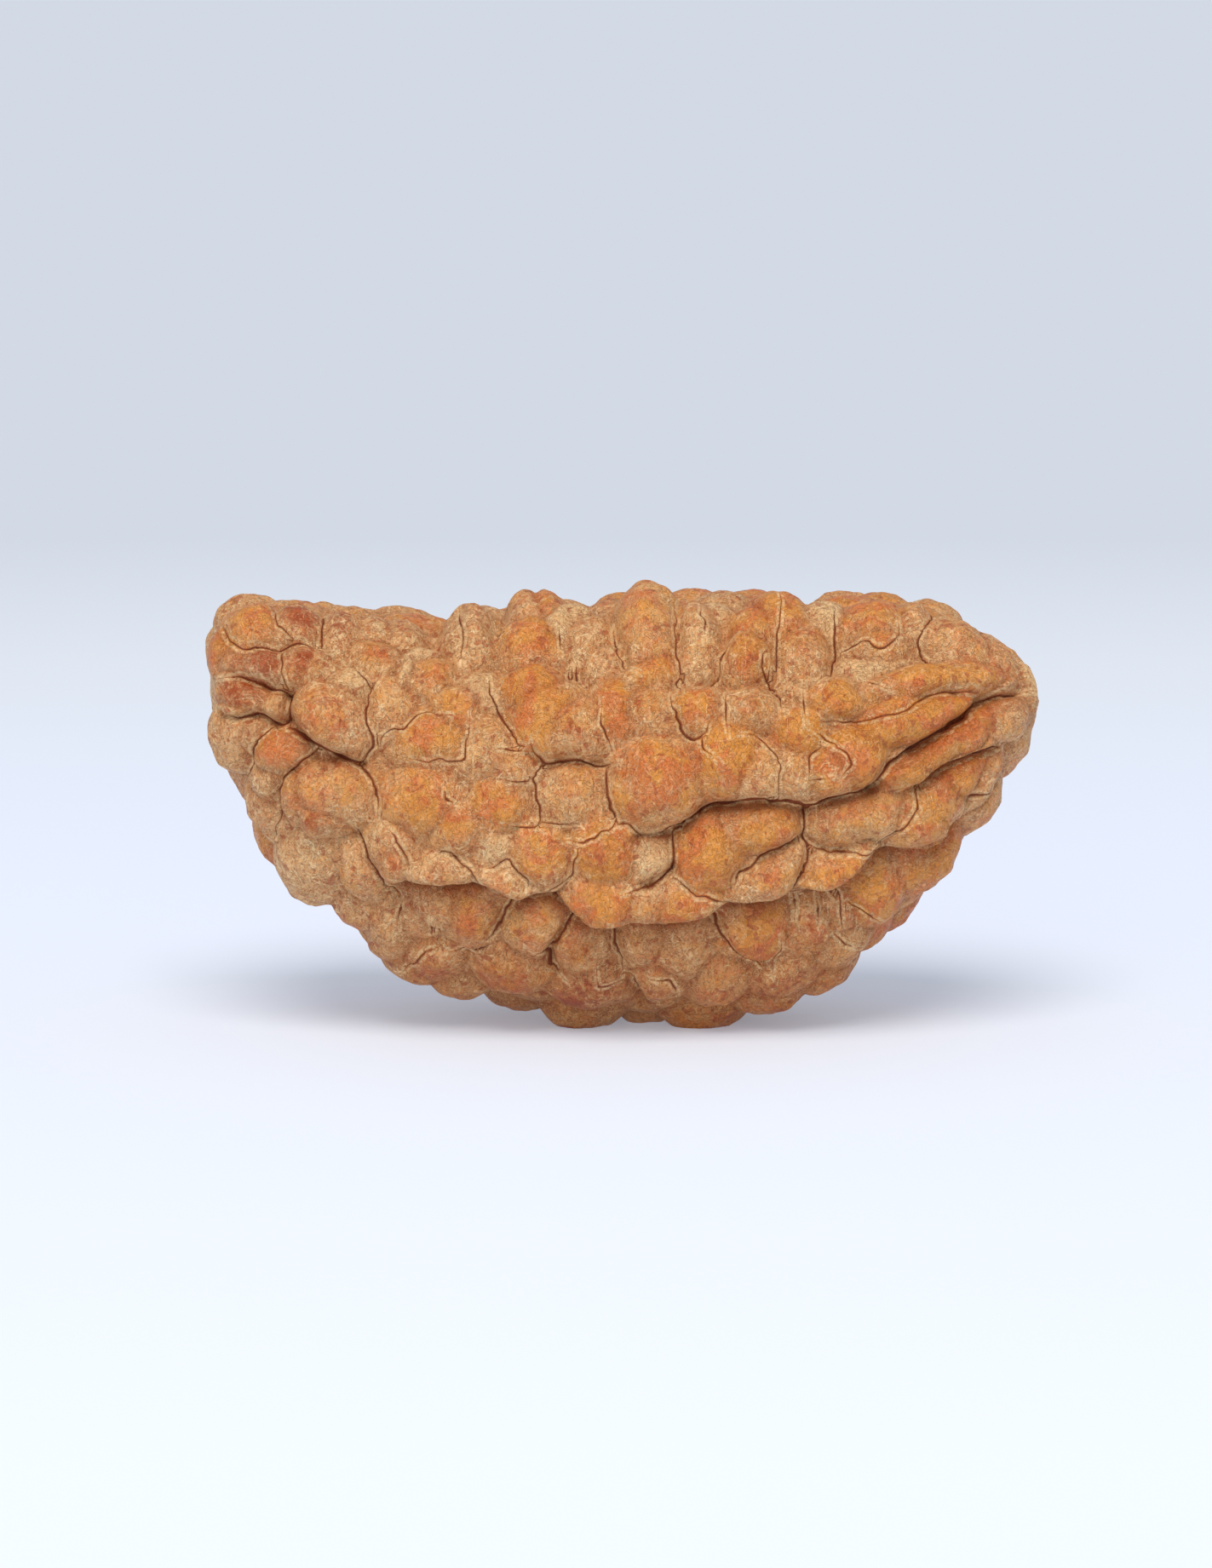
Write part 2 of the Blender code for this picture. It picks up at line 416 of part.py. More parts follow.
def seed_mesh():
    """The thinned net with the lowest cushions cut flat, so that the seed has a spot to rest on."""
    mesh = thinned(*fine_surface(RINGS, SEGMENTS))
    everything = mesh.verts[:] + mesh.edges[:] + mesh.faces[:]
    cut = bmesh.ops.bisect_plane(
        mesh, geom=everything, dist=1e-7, plane_co=(0, 0, 0), plane_no=(0, 0, -1), clear_outer=True
    )
    rim = [item for item in cut["geom_cut"] if isinstance(item, bmesh.types.BMEdge)]
    bmesh.ops.holes_fill(mesh, edges=rim, sides=0)
    bmesh.ops.recalc_face_normals(mesh, faces=mesh.faces)
    return mesh


def stone_material():
    """Dried, unpolished seed stone: warm tan, dull, with a faint oil shine on the crowns."""
    material = bpy.data.materials.new("rudraksha_stone")
    material.use_nodes = True
    shader = material.node_tree.nodes["Principled BSDF"]
    shader.inputs["Base Color"].default_value = (0.49, 0.25, 0.10, 1.0)
    shader.inputs["Roughness"].default_value = 0.62
    shader.inputs["Metallic"].default_value = 0.0
    return material


def build():
    for item in list(bpy.data.objects):
        bpy.data.objects.remove(item)
    mesh = seed_mesh()
    data = bpy.data.meshes.new("rudraksha_seed")
    mesh.to_mesh(data)
    mesh.free()
    data.materials.append(stone_material())
    data.shade_smooth()
    seed = bpy.data.objects.new("rudraksha_seed", data)
    bpy.context.scene.collection.objects.link(seed)


build()
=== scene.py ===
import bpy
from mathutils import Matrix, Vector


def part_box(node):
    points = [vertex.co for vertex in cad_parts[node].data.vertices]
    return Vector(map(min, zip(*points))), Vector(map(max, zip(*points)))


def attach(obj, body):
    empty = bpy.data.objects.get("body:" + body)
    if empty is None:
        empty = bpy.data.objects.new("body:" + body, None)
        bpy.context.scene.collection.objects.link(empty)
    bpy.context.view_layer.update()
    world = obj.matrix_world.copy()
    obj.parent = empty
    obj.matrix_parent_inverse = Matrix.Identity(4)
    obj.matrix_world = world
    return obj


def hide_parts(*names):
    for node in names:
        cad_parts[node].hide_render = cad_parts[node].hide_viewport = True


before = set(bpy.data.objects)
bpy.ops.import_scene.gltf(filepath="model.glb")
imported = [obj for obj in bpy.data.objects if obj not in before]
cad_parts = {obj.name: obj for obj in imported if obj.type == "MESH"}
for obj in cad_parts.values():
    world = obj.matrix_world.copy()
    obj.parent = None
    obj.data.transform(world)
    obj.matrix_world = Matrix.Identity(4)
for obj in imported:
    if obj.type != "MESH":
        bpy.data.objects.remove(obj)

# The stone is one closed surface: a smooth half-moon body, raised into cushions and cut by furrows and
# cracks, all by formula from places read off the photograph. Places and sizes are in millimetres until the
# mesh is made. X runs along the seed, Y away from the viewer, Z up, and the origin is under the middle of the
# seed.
"""Looks of the half-moon rudraksha seed.

The stone is one closed surface: a smooth half-moon body, raised into cushions and cut by furrows and cracks,
all by formula from places read by hand off the photograph. Places and sizes are in millimetres until the mesh
is made. X runs along the seed, Y away from the viewer, Z up, and the origin is under the middle of the seed.
"""

import bpy
import numpy as np
from mathutils import Matrix, Vector

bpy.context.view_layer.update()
MILLIMETRE = 0.001

# The seed's face is read from the front, VIEW_TILT degrees above level and VIEW_DISTANCE away, through
# the point VIEW_CENTRE. "Across" is along X and "up" is square to the line of sight.
VIEW_TILT = 9.5
VIEW_DISTANCE = 270.3
VIEW_CENTRE = (-0.49, 8.21)
LENS, SENSOR = 185.0, 36.0
# The finished seed stands this much lower than the places read on it, because its rest spot is cut level
SEED_DROP = 0.27

# Fineness of the surface: rings from tip to tip, and segments round the face and round the back
RINGS = 300
FACE_SEGMENTS, BACK_SEGMENTS = 224, 106

# The half-moon body under the relief: pairs of place along the seed and height, or half depth
X_BLUNT, X_STALK = -13.75, 13.9
KEEL = [(-13.75, 11.5), (-13.5, 9.95), (-12.4, 8.45), (-11.2, 5.75), (-9.6, 4.65), (-7.6, 2.7),
        (-5.0, 1.75),
        (-2.0, 1.0), (1.5, 0.75), (4.5, 1.05), (7.0, 2.15), (9.0, 4.0), (10.7, 6.3), (12.2, 8.58),
        (13.45, 10.3),
        (13.9, 11.2)]
DECK = [(-13.75, 11.5), (-13.5, 13.4), (-12.0, 14.2), (-9.0, 14.0), (-6.0, 13.8), (-2.0, 13.9),
        (2.0, 14.4),
        (6.0, 14.3), (9.0, 14.25), (11.0, 13.65), (12.6, 12.4), (13.65, 11.65), (13.9, 11.2)]
HALF_DEPTH = [(-13.75, 0.0), (-13.3, 2.5), (-11.5, 4.0), (-8.0, 4.9), (-3.0, 5.3), (3.0, 5.3), (8.0, 4.8),
              (11.0, 3.7), (13.0, 2.3), (13.9, 0.0)]
KEEL_POWER, DECK_POWER = 2.0, 2.5
CREST_LEAN = 0.7
MEAN_RELIEF = 0.55

# Cushions on the face: across, up, half length, half width, turn in degrees, height, tone
CUSHIONS = {
    "blunt end": [
        (-13.6, 13.0, 0.55, 0.95, 0, 0.45, "ochre"), (-12.3, 13.6, 1.0, 0.8, 0, 0.85, "orange"),
        (-10.8, 13.7, 0.8, 0.85, 0, 0.8, "red"), (-9.3, 13.5, 0.7, 0.75, 0, 0.75, "red"),
        (-8.2, 13.55, 0.65, 0.45, 0, 0.65, "pink"), (-7.3, 13.45, 0.65, 0.55, 0, 0.65, "pink"),
        (-11.9, 12.25, 0.75, 0.5, -12, 0.7, "dark"), (-12.85, 12.3, 0.5, 0.4, -10, 0.48, "red"),
        (-10.65, 12.2, 0.8, 0.7, 0, 0.8, "red"), (-13.0, 11.25, 0.8, 0.62, -8, 0.58, "red"),
        (-11.65, 10.95, 0.5, 0.55, 0, 0.6, "tan"), (-9.9, 10.5, 1.55, 1.15, -32, 1.1, "brown"),
        (-9.2, 11.5, 0.85, 0.6, 0, 0.75, "pale"), (-8.3, 12.45, 0.8, 0.6, 0, 0.8, "brown"),
        (-7.8, 11.1, 0.75, 1.0, 0, 0.6, "tan"), (-13.3, 9.55, 0.7, 1.0, 8, 1.0, "moss"),
        (-12.7, 9.7, 0.5, 0.7, 10, 0.65, "moss"), (-11.55, 9.35, 0.9, 0.85, 0, 0.9, "orange"),
        (-12.1, 8.15, 0.6, 0.6, 0, 0.6, "moss"), (-12.3, 7.15, 0.8, 0.7, -45, 0.6, "tan"),
        (-9.8, 7.95, 1.6, 1.2, 0, 0.95, "light"), (-11.0, 7.7, 0.75, 0.95, 0, 0.7, "tan"),
        (-10.2, 7.0, 0.55, 0.5, 0, 0.92, "red"),
    ],
    "lower left": [
        (-10.5, 4.95, 1.4, 1.35, 0, 1.05, "moss"), (-8.95, 4.9, 0.7, 0.85, 20, 0.6, "tan"),
        (-9.3, 3.75, 0.9, 0.6, -30, 0.62, "tan"), (-7.95, 2.75, 0.7, 0.85, 0, 0.78, "tan"),
        (-6.9, 3.3, 0.7, 0.7, 0, 0.4, "tan"), (-6.2, 3.85, 0.9, 0.75, 0, 0.62, "tan"),
        (-5.15, 3.4, 0.95, 1.0, 0, 0.7, "orange"), (-6.4, 1.9, 1.2, 0.7, -10, 0.66, "brown"),
        (-7.2, 1.85, 1.1, 0.6, -25, 0.8, "tan"), (-5.6, 1.3, 1.2, 0.6, -15, 0.8, "tan"),
        (-7.75, 6.0, 0.9, 1.1, 0, 0.6, "tan"), (-7.6, 5.4, 0.4, 0.4, 0, 0.72, "orange"),
        (-6.0, 5.3, 1.1, 0.5, 0, 0.75, "tan"), (-4.0, 4.85, 1.0, 0.6, -20, 0.8, "tan"),
        (-3.1, 3.15, 1.1, 1.05, 0, 0.72, "light"), (-1.5, 2.5, 0.85, 1.0, 0, 0.62, "brown"),
        (-3.9, 1.5, 1.6, 0.8, -10, 0.68, "brown"), (-1.3, 0.9, 1.45, 0.7, 0, 0.62, "red"),
    ],
    "middle left": [
        (-6.8, 7.5, 1.4, 1.1, 0, 0.9, "orange"), (-5.4, 6.6, 0.9, 0.8, 0, 0.85, "orange"),
        (-4.2, 7.4, 1.0, 0.95, 0, 0.82, "orange"), (-4.4, 6.1, 0.9, 0.6, -20, 0.62, "pale"),
        (-6.4, 9.7, 1.25, 0.95, 0, 0.82, "orange"), (-5.5, 10.8, 0.85, 0.75, 0, 0.85, "orange"),
        (-6.3, 11.9, 0.65, 0.6, 0, 0.82, "orange"), (-6.75, 12.5, 0.5, 0.14, 15, 0.8, "white"),
        (-7.1, 12.15, 0.14, 0.45, -15, 0.72, "white"), (-4.6, 9.4, 0.9, 1.1, -25, 0.85, "tan"),
        (-4.8, 11.3, 0.7, 0.7, 0, 0.6, "pale"), (-3.5, 8.7, 0.65, 0.6, 0, 0.72, "tan"),
        (-2.7, 5.8, 1.05, 0.95, 0, 0.85, "orange"), (-1.7, 7.85, 1.2, 1.1, 0, 0.8, "tan"),
        (-0.5, 5.75, 1.05, 1.05, 0, 0.98, "deep"), (-0.7, 4.2, 1.3, 0.85, 0, 0.95, "orange"),
        (0.95, 5.6, 0.65, 0.85, 0, 0.7, "pale"),
    ],
    "middle right": [
        (1.1, 8.3, 1.65, 1.65, 0, 1.3, "orange"), (3.3, 9.1, 1.1, 1.15, 0, 1.3, "bright"),
        (4.5, 8.5, 0.8, 0.9, 0, 1.05, "tan"), (2.75, 5.7, 1.15, 1.2, 0, 0.98, "bright"),
        (4.7, 6.7, 1.35, 0.85, 12, 0.98, "orange"), (5.0, 5.0, 1.35, 0.6, 38, 0.88, "tan"),
        (2.2, 4.15, 1.2, 0.65, 8, 0.85, "orange"), (0.7, 4.1, 0.8, 0.55, 0, 0.78, "tan"),
        (7.9, 7.1, 1.8, 0.85, 12, 1.02, "light"), (7.2, 5.2, 1.3, 0.55, 16, 0.88, "orange"),
        (5.9, 9.9, 0.9, 0.7, 0, 1.1, "bright"), (5.8, 8.6, 0.7, 0.8, 0, 1.0, "tan"),
        (6.85, 8.7, 0.75, 0.72, 0, 1.12, "orange"),
    ],
    "stalk end": [
        (10.6, 11.75, 2.9, 0.6, 12, 0.85, "orange"), (7.1, 11.0, 0.8, 0.65, 0, 1.0, "bright"),
        (9.3, 10.2, 2.9, 0.8, 21, 1.05, "bright"), (7.6, 9.3, 1.2, 0.9, 20, 1.15, "bright"),
        (11.0, 9.6, 2.5, 0.65, 29, 0.88, "bright"), (12.9, 10.6, 0.9, 0.8, 30, 0.8, "tan"),
        (9.5, 8.55, 1.1, 0.5, 25, 0.92, "orange"), (11.5, 8.5, 1.7, 0.65, 38, 0.75, "orange"),
        (10.4, 7.3, 1.2, 1.0, 38, 0.98, "orange"), (12.3, 8.3, 0.8, 0.5, 50, 0.72, "tan"),
        (12.2, 7.4, 0.85, 0.65, 55, 0.8, "tan"), (10.6, 5.45, 1.2, 0.8, 15, 0.95, "orange"),
        (8.4, 12.3, 1.4, 0.5, 8, 0.35, "pale"), (13.4, 11.2, 0.5, 0.5, 0, 0.45, "pale"),
    ],
    "crest": [
        (-5.0, 13.6, 0.85, 0.8, 0, 1.1, "pink"), (-3.3, 14.15, 0.72, 0.8, 0, 1.12, "tan"),
        (-2.45, 14.2, 0.72, 0.8, 0, 1.1, "orange"), (-3.0, 13.2, 0.95, 0.7, 0, 1.05, "bright"),
        (-2.1, 13.7, 0.85, 0.8, -30, 0.95, "pale"), (-1.2, 13.4, 0.7, 0.7, -20, 0.7, "pink"),
        (-2.6, 10.6, 1.5, 1.5, 0, 1.05, "orange"), (-3.0, 11.5, 1.0, 0.75, 0, 0.98, "bright"),
        (-1.7, 10.1, 1.0, 0.85, 0, 1.02, "brown"), (-0.25, 10.75, 0.8, 0.9, 0, 0.98, "bright"),
        (1.0, 10.6, 0.75, 0.6, 0, 0.92, "brown"), (2.45, 10.6, 0.78, 0.72, 0, 1.12, "bright"),
        (4.2, 10.65, 0.85, 0.62, 0, 1.02, "brown"), (0.9, 12.0, 0.85, 0.55, 0, 0.75, "orange"),
        (-0.6, 12.35, 0.55, 0.55, 0, 0.6, "pink"), (0.75, 13.9, 1.2, 1.35, 0, 1.42, "light"),
        (2.4, 13.4, 0.8, 1.35, 0, 0.9, "tan"), (3.05, 14.2, 0.7, 0.4, 0, 0.55, "pale"),
        (4.3, 13.4, 0.85, 1.3, 0, 0.85, "orange"), (4.1, 12.6, 0.65, 0.6, 0, 1.05, "deep"),
        (5.2, 14.1, 1.3, 0.75, 0, 1.02, "orange"), (6.75, 14.0, 0.8, 0.6, 0, 0.72, "pale"),
        (6.0, 12.8, 0.9, 1.15, 0, 0.75, "brown"), (8.3, 13.8, 1.3, 0.8, 0, 0.9, "orange"),
        (8.6, 13.1, 0.8, 0.45, 0, 0.78, "orange"), (9.7, 13.9, 0.65, 0.6, 0, 0.8, "tan"),
        (11.2, 13.2, 1.3, 0.75, -20, 0.85, "tan"), (12.5, 12.7, 0.9, 0.55, -38, 0.72, "tan"),
        (13.35, 12.15, 0.95, 0.22, -52, 0.62, "pale"),
    ],
    "lower right": [
        (0.6, 2.6, 0.75, 0.8, 0, 0.6, "tan"), (2.1, 2.3, 1.0, 1.05, 0, 0.66, "tan"),
        (3.2, 1.05, 1.2, 0.75, 0, 0.62, "light"), (1.2, 1.2, 0.85, 0.6, 0, 0.5, "tan"),
        (4.55, 2.8, 1.2, 1.05, 0, 0.66, "orange"), (6.5, 2.9, 0.9, 1.1, 0, 0.55, "brown"),
        (8.8, 4.1, 1.05, 1.05, 40, 0.8, "bright"), (7.6, 3.6, 0.7, 0.8, 0, 0.45, "tan"),
        (5.6, 1.5, 1.5, 0.7, 25, 0.7, "brown"), (7.4, 2.4, 1.2, 0.8, 30, 0.66, "tan"),
        (5.2, 0.75, 1.2, 0.6, 18, 0.72, "brown"), (7.0, 1.6, 1.1, 0.6, 32, 0.75, "brown"),
    ],
}

# Cushions of the underside, in the same measures but read from below: along, away from the viewer. The first
# four are the feet.
UNDERSIDE = [
    (-1.4, -1.0, 1.3, 0.9, 10, 0.92, "brown"), (-1.2, 1.1, 1.2, 0.9, -10, 0.92, "brown"),
    (2.7, -1.0, 1.4, 0.9, -5, 0.82, "orange"), (2.9, 1.1, 1.3, 0.9, 5, 0.82, "brown"),
    (0.7, 0.1, 0.9, 1.1, 0, 0.55, "tan"), (-3.6, 0.2, 1.1, 1.2, 0, 0.65, "tan"),
    (5.0, 0.2, 1.0, 1.2, 0, 0.6, "tan"),
]

# Furrows: how deep, how far the side above stands over the side below, and the places across and up
FURROWS = {
    "brow": (0.42, 0.38, [(0.6, 6.5), (1.5, 6.5), (2.4, 7.0), (3.2, 7.45), (4.2, 7.6), (5.3, 7.55),
        (6.1, 7.35), (7.0, 7.6), (8.0, 7.9), (8.5, 8.1)]),
    "ledge left": (0.45, 0.40, [(-7.4, 4.6), (-6.6, 4.7), (-6.0, 4.6), (-5.0, 4.72), (-4.4, 4.68),
        (-3.6, 4.15), (-2.9, 4.3), (-2.4, 4.28), (-1.7, 3.75), (-1.2, 3.35), (-0.3, 3.35)]),
    "ledge right": (0.40, 0.45, [(-0.3, 3.35), (0.6, 3.45), (1.5, 3.35), (2.9, 3.65), (3.6, 4.02),
        (5.1, 4.1), (5.8, 4.5), (7.0, 4.62), (7.9, 5.2), (8.6, 5.8)]),
    "ledge stalk": (0.30, 0.40, [(8.7, 5.78), (9.8, 5.75), (10.7, 6.1), (11.3, 6.8)]),
    "shoulder": (0.40, 0.35, [(-11.2, 11.35), (-11.15, 10.5), (-10.5, 9.65), (-9.4, 9.1), (-8.7, 8.9)]),
    "shoulder right": (0.14, 0.05, [(-8.7, 8.9), (-8.35, 9.7), (-8.6, 10.35), (-8.4, 11.4)]),
    "blunt groove": (0.32, 0.20, [(-13.0, 11.85), (-12.0, 11.6), (-11.2, 11.4)]),
    "blunt shelf": (0.18, 0.16, [(-13.35, 13.5), (-12.9, 12.97), (-12.3, 12.75), (-11.3, 12.8),
        (-10.2, 12.85)]),
    "blunt notch": (0.32, 0.20, [(-13.6, 10.6), (-12.95, 10.35), (-12.2, 10.52), (-11.6, 10.25),
        (-11.2, 10.4)]),
    "blunt fork": (0.17, 0.0, [(-11.75, 10.1), (-12.5, 9.3), (-12.95, 8.1)]),
    "cheek top": (0.22, 0.08, [(-11.7, 7.6), (-11.5, 8.3), (-10.8, 8.8), (-10.3, 9.25)]),
    "cheek left": (0.18, 0.0, [(-11.7, 7.6), (-11.65, 7.0), (-11.85, 6.35)]),
    "cheek right": (0.17, 0.0, [(-8.9, 8.78), (-8.4, 8.1), (-8.2, 7.35)]),
    "jaw": (0.17, 0.0, [(-9.1, 6.25), (-8.5, 5.5), (-8.2, 4.6), (-7.8, 4.15)]),
    "finger top": (0.20, 0.15, [(6.8, 10.3), (9.0, 10.5), (10.2, 11.15), (11.5, 11.37), (12.0, 11.2)]),
    "finger middle": (0.48, 0.30, [(8.45, 8.15), (8.9, 8.85), (10.4, 9.8), (11.6, 10.6), (12.1, 11.1),
        (13.3, 11.4)]),
    "finger low": (0.36, 0.25, [(9.95, 8.1), (10.8, 8.7), (11.8, 9.1), (12.6, 9.4)]),
    "cushion seam": (0.20, 0.0, [(6.1, 7.3), (6.1, 6.3), (6.25, 5.9), (5.8, 4.8)]),
    "cushion fold": (0.20, 0.12, [(3.9, 5.1), (4.5, 5.45), (4.9, 5.85), (5.9, 6.3)]),
    "pit": (0.35, 0.0, [(0.7, 4.65), (1.3, 4.95), (1.7, 5.2)]),
    "crest slit left": (0.16, 0.0, [(-4.4, 11.7), (-4.2, 10.9), (-3.5, 9.5)]),
    "crest slit low": (0.22, 0.20, [(-3.0, 9.3), (-2.6, 8.95), (-1.6, 9.05), (-0.55, 8.85)]),
    "crest slit 1": (0.16, 0.0, [(-5.4, 13.8), (-5.35, 12.8)]),
    "crest slit 2": (0.16, 0.0, [(-0.5, 13.9), (-0.25, 13.1), (0.15, 12.2)]),
    "crest slit 3": (0.18, 0.0, [(1.83, 14.2), (1.85, 13.0), (1.85, 11.7)]),
    "crest slit 4": (0.18, 0.0, [(3.55, 13.8), (3.4, 12.7), (3.2, 12.0), (2.75, 11.5)]),
    "crest slit 5": (0.20, 0.0, [(6.85, 13.6), (7.05, 12.8), (7.0, 12.0)]),
    "low slit 1": (0.20, 0.0, [(-3.7, 4.0), (-4.15, 3.3), (-4.45, 2.7)]),
    "low slit 2": (0.32, 0.0, [(-1.6, 3.5), (-2.55, 2.3), (-2.4, 1.6)]),
    "low slit 3": (0.22, 0.0, [(-0.33, 3.3), (-0.3, 2.5), (-0.05, 1.8)]),
    "low slit 4": (0.18, 0.0, [(3.05, 3.6), (3.5, 2.6), (4.1, 1.95), (5.0, 1.9)]),
    "foot notch": (0.30, 0.0, [(0.35, 1.3), (0.6, 0.8), (0.7, 0.3)]),
}
BACK_FURROWS = {
    "mouth line": (0.55, 0.0, [(-12.0, 12.9), (-8.0, 12.7), (-3.0, 12.9), (2.0, 13.0), (7.0, 12.9),
        (12.0, 12.0)]),
    "back brow": (0.40, 0.45, [(-9.8, 8.8), (-6.5, 7.7), (-3.0, 7.2), (0.5, 7.7), (4.0, 7.3), (8.0, 8.3),
        (10.8, 9.5)]),
    "back ledge": (0.40, 0.40, [(-7.2, 4.6), (-4.0, 3.9), (-1.0, 3.6), (3.0, 4.1), (6.5, 4.7), (9.0, 6.1)]),
    "back finger": (0.30, 0.20, [(6.0, 10.0), (9.0, 10.5), (11.9, 11.1)]),
    "back shoulder": (0.32, 0.25, [(-11.9, 10.5), (-9.5, 10.2), (-6.8, 10.9)]),
}
FURROW_WIDTH = 0.16
FURROW_STEP = 0.6
LIP_REACH = 1.1
DROOP, DROOP_REACH = 0.30, 0.7
# Painted shade under a brink is full for a lip of UNDER_LIP, and fades from the brink over UNDER_REACH
UNDER_LIP, UNDER_REACH, UNDER_SIDE = 0.45, 0.45, 0.4

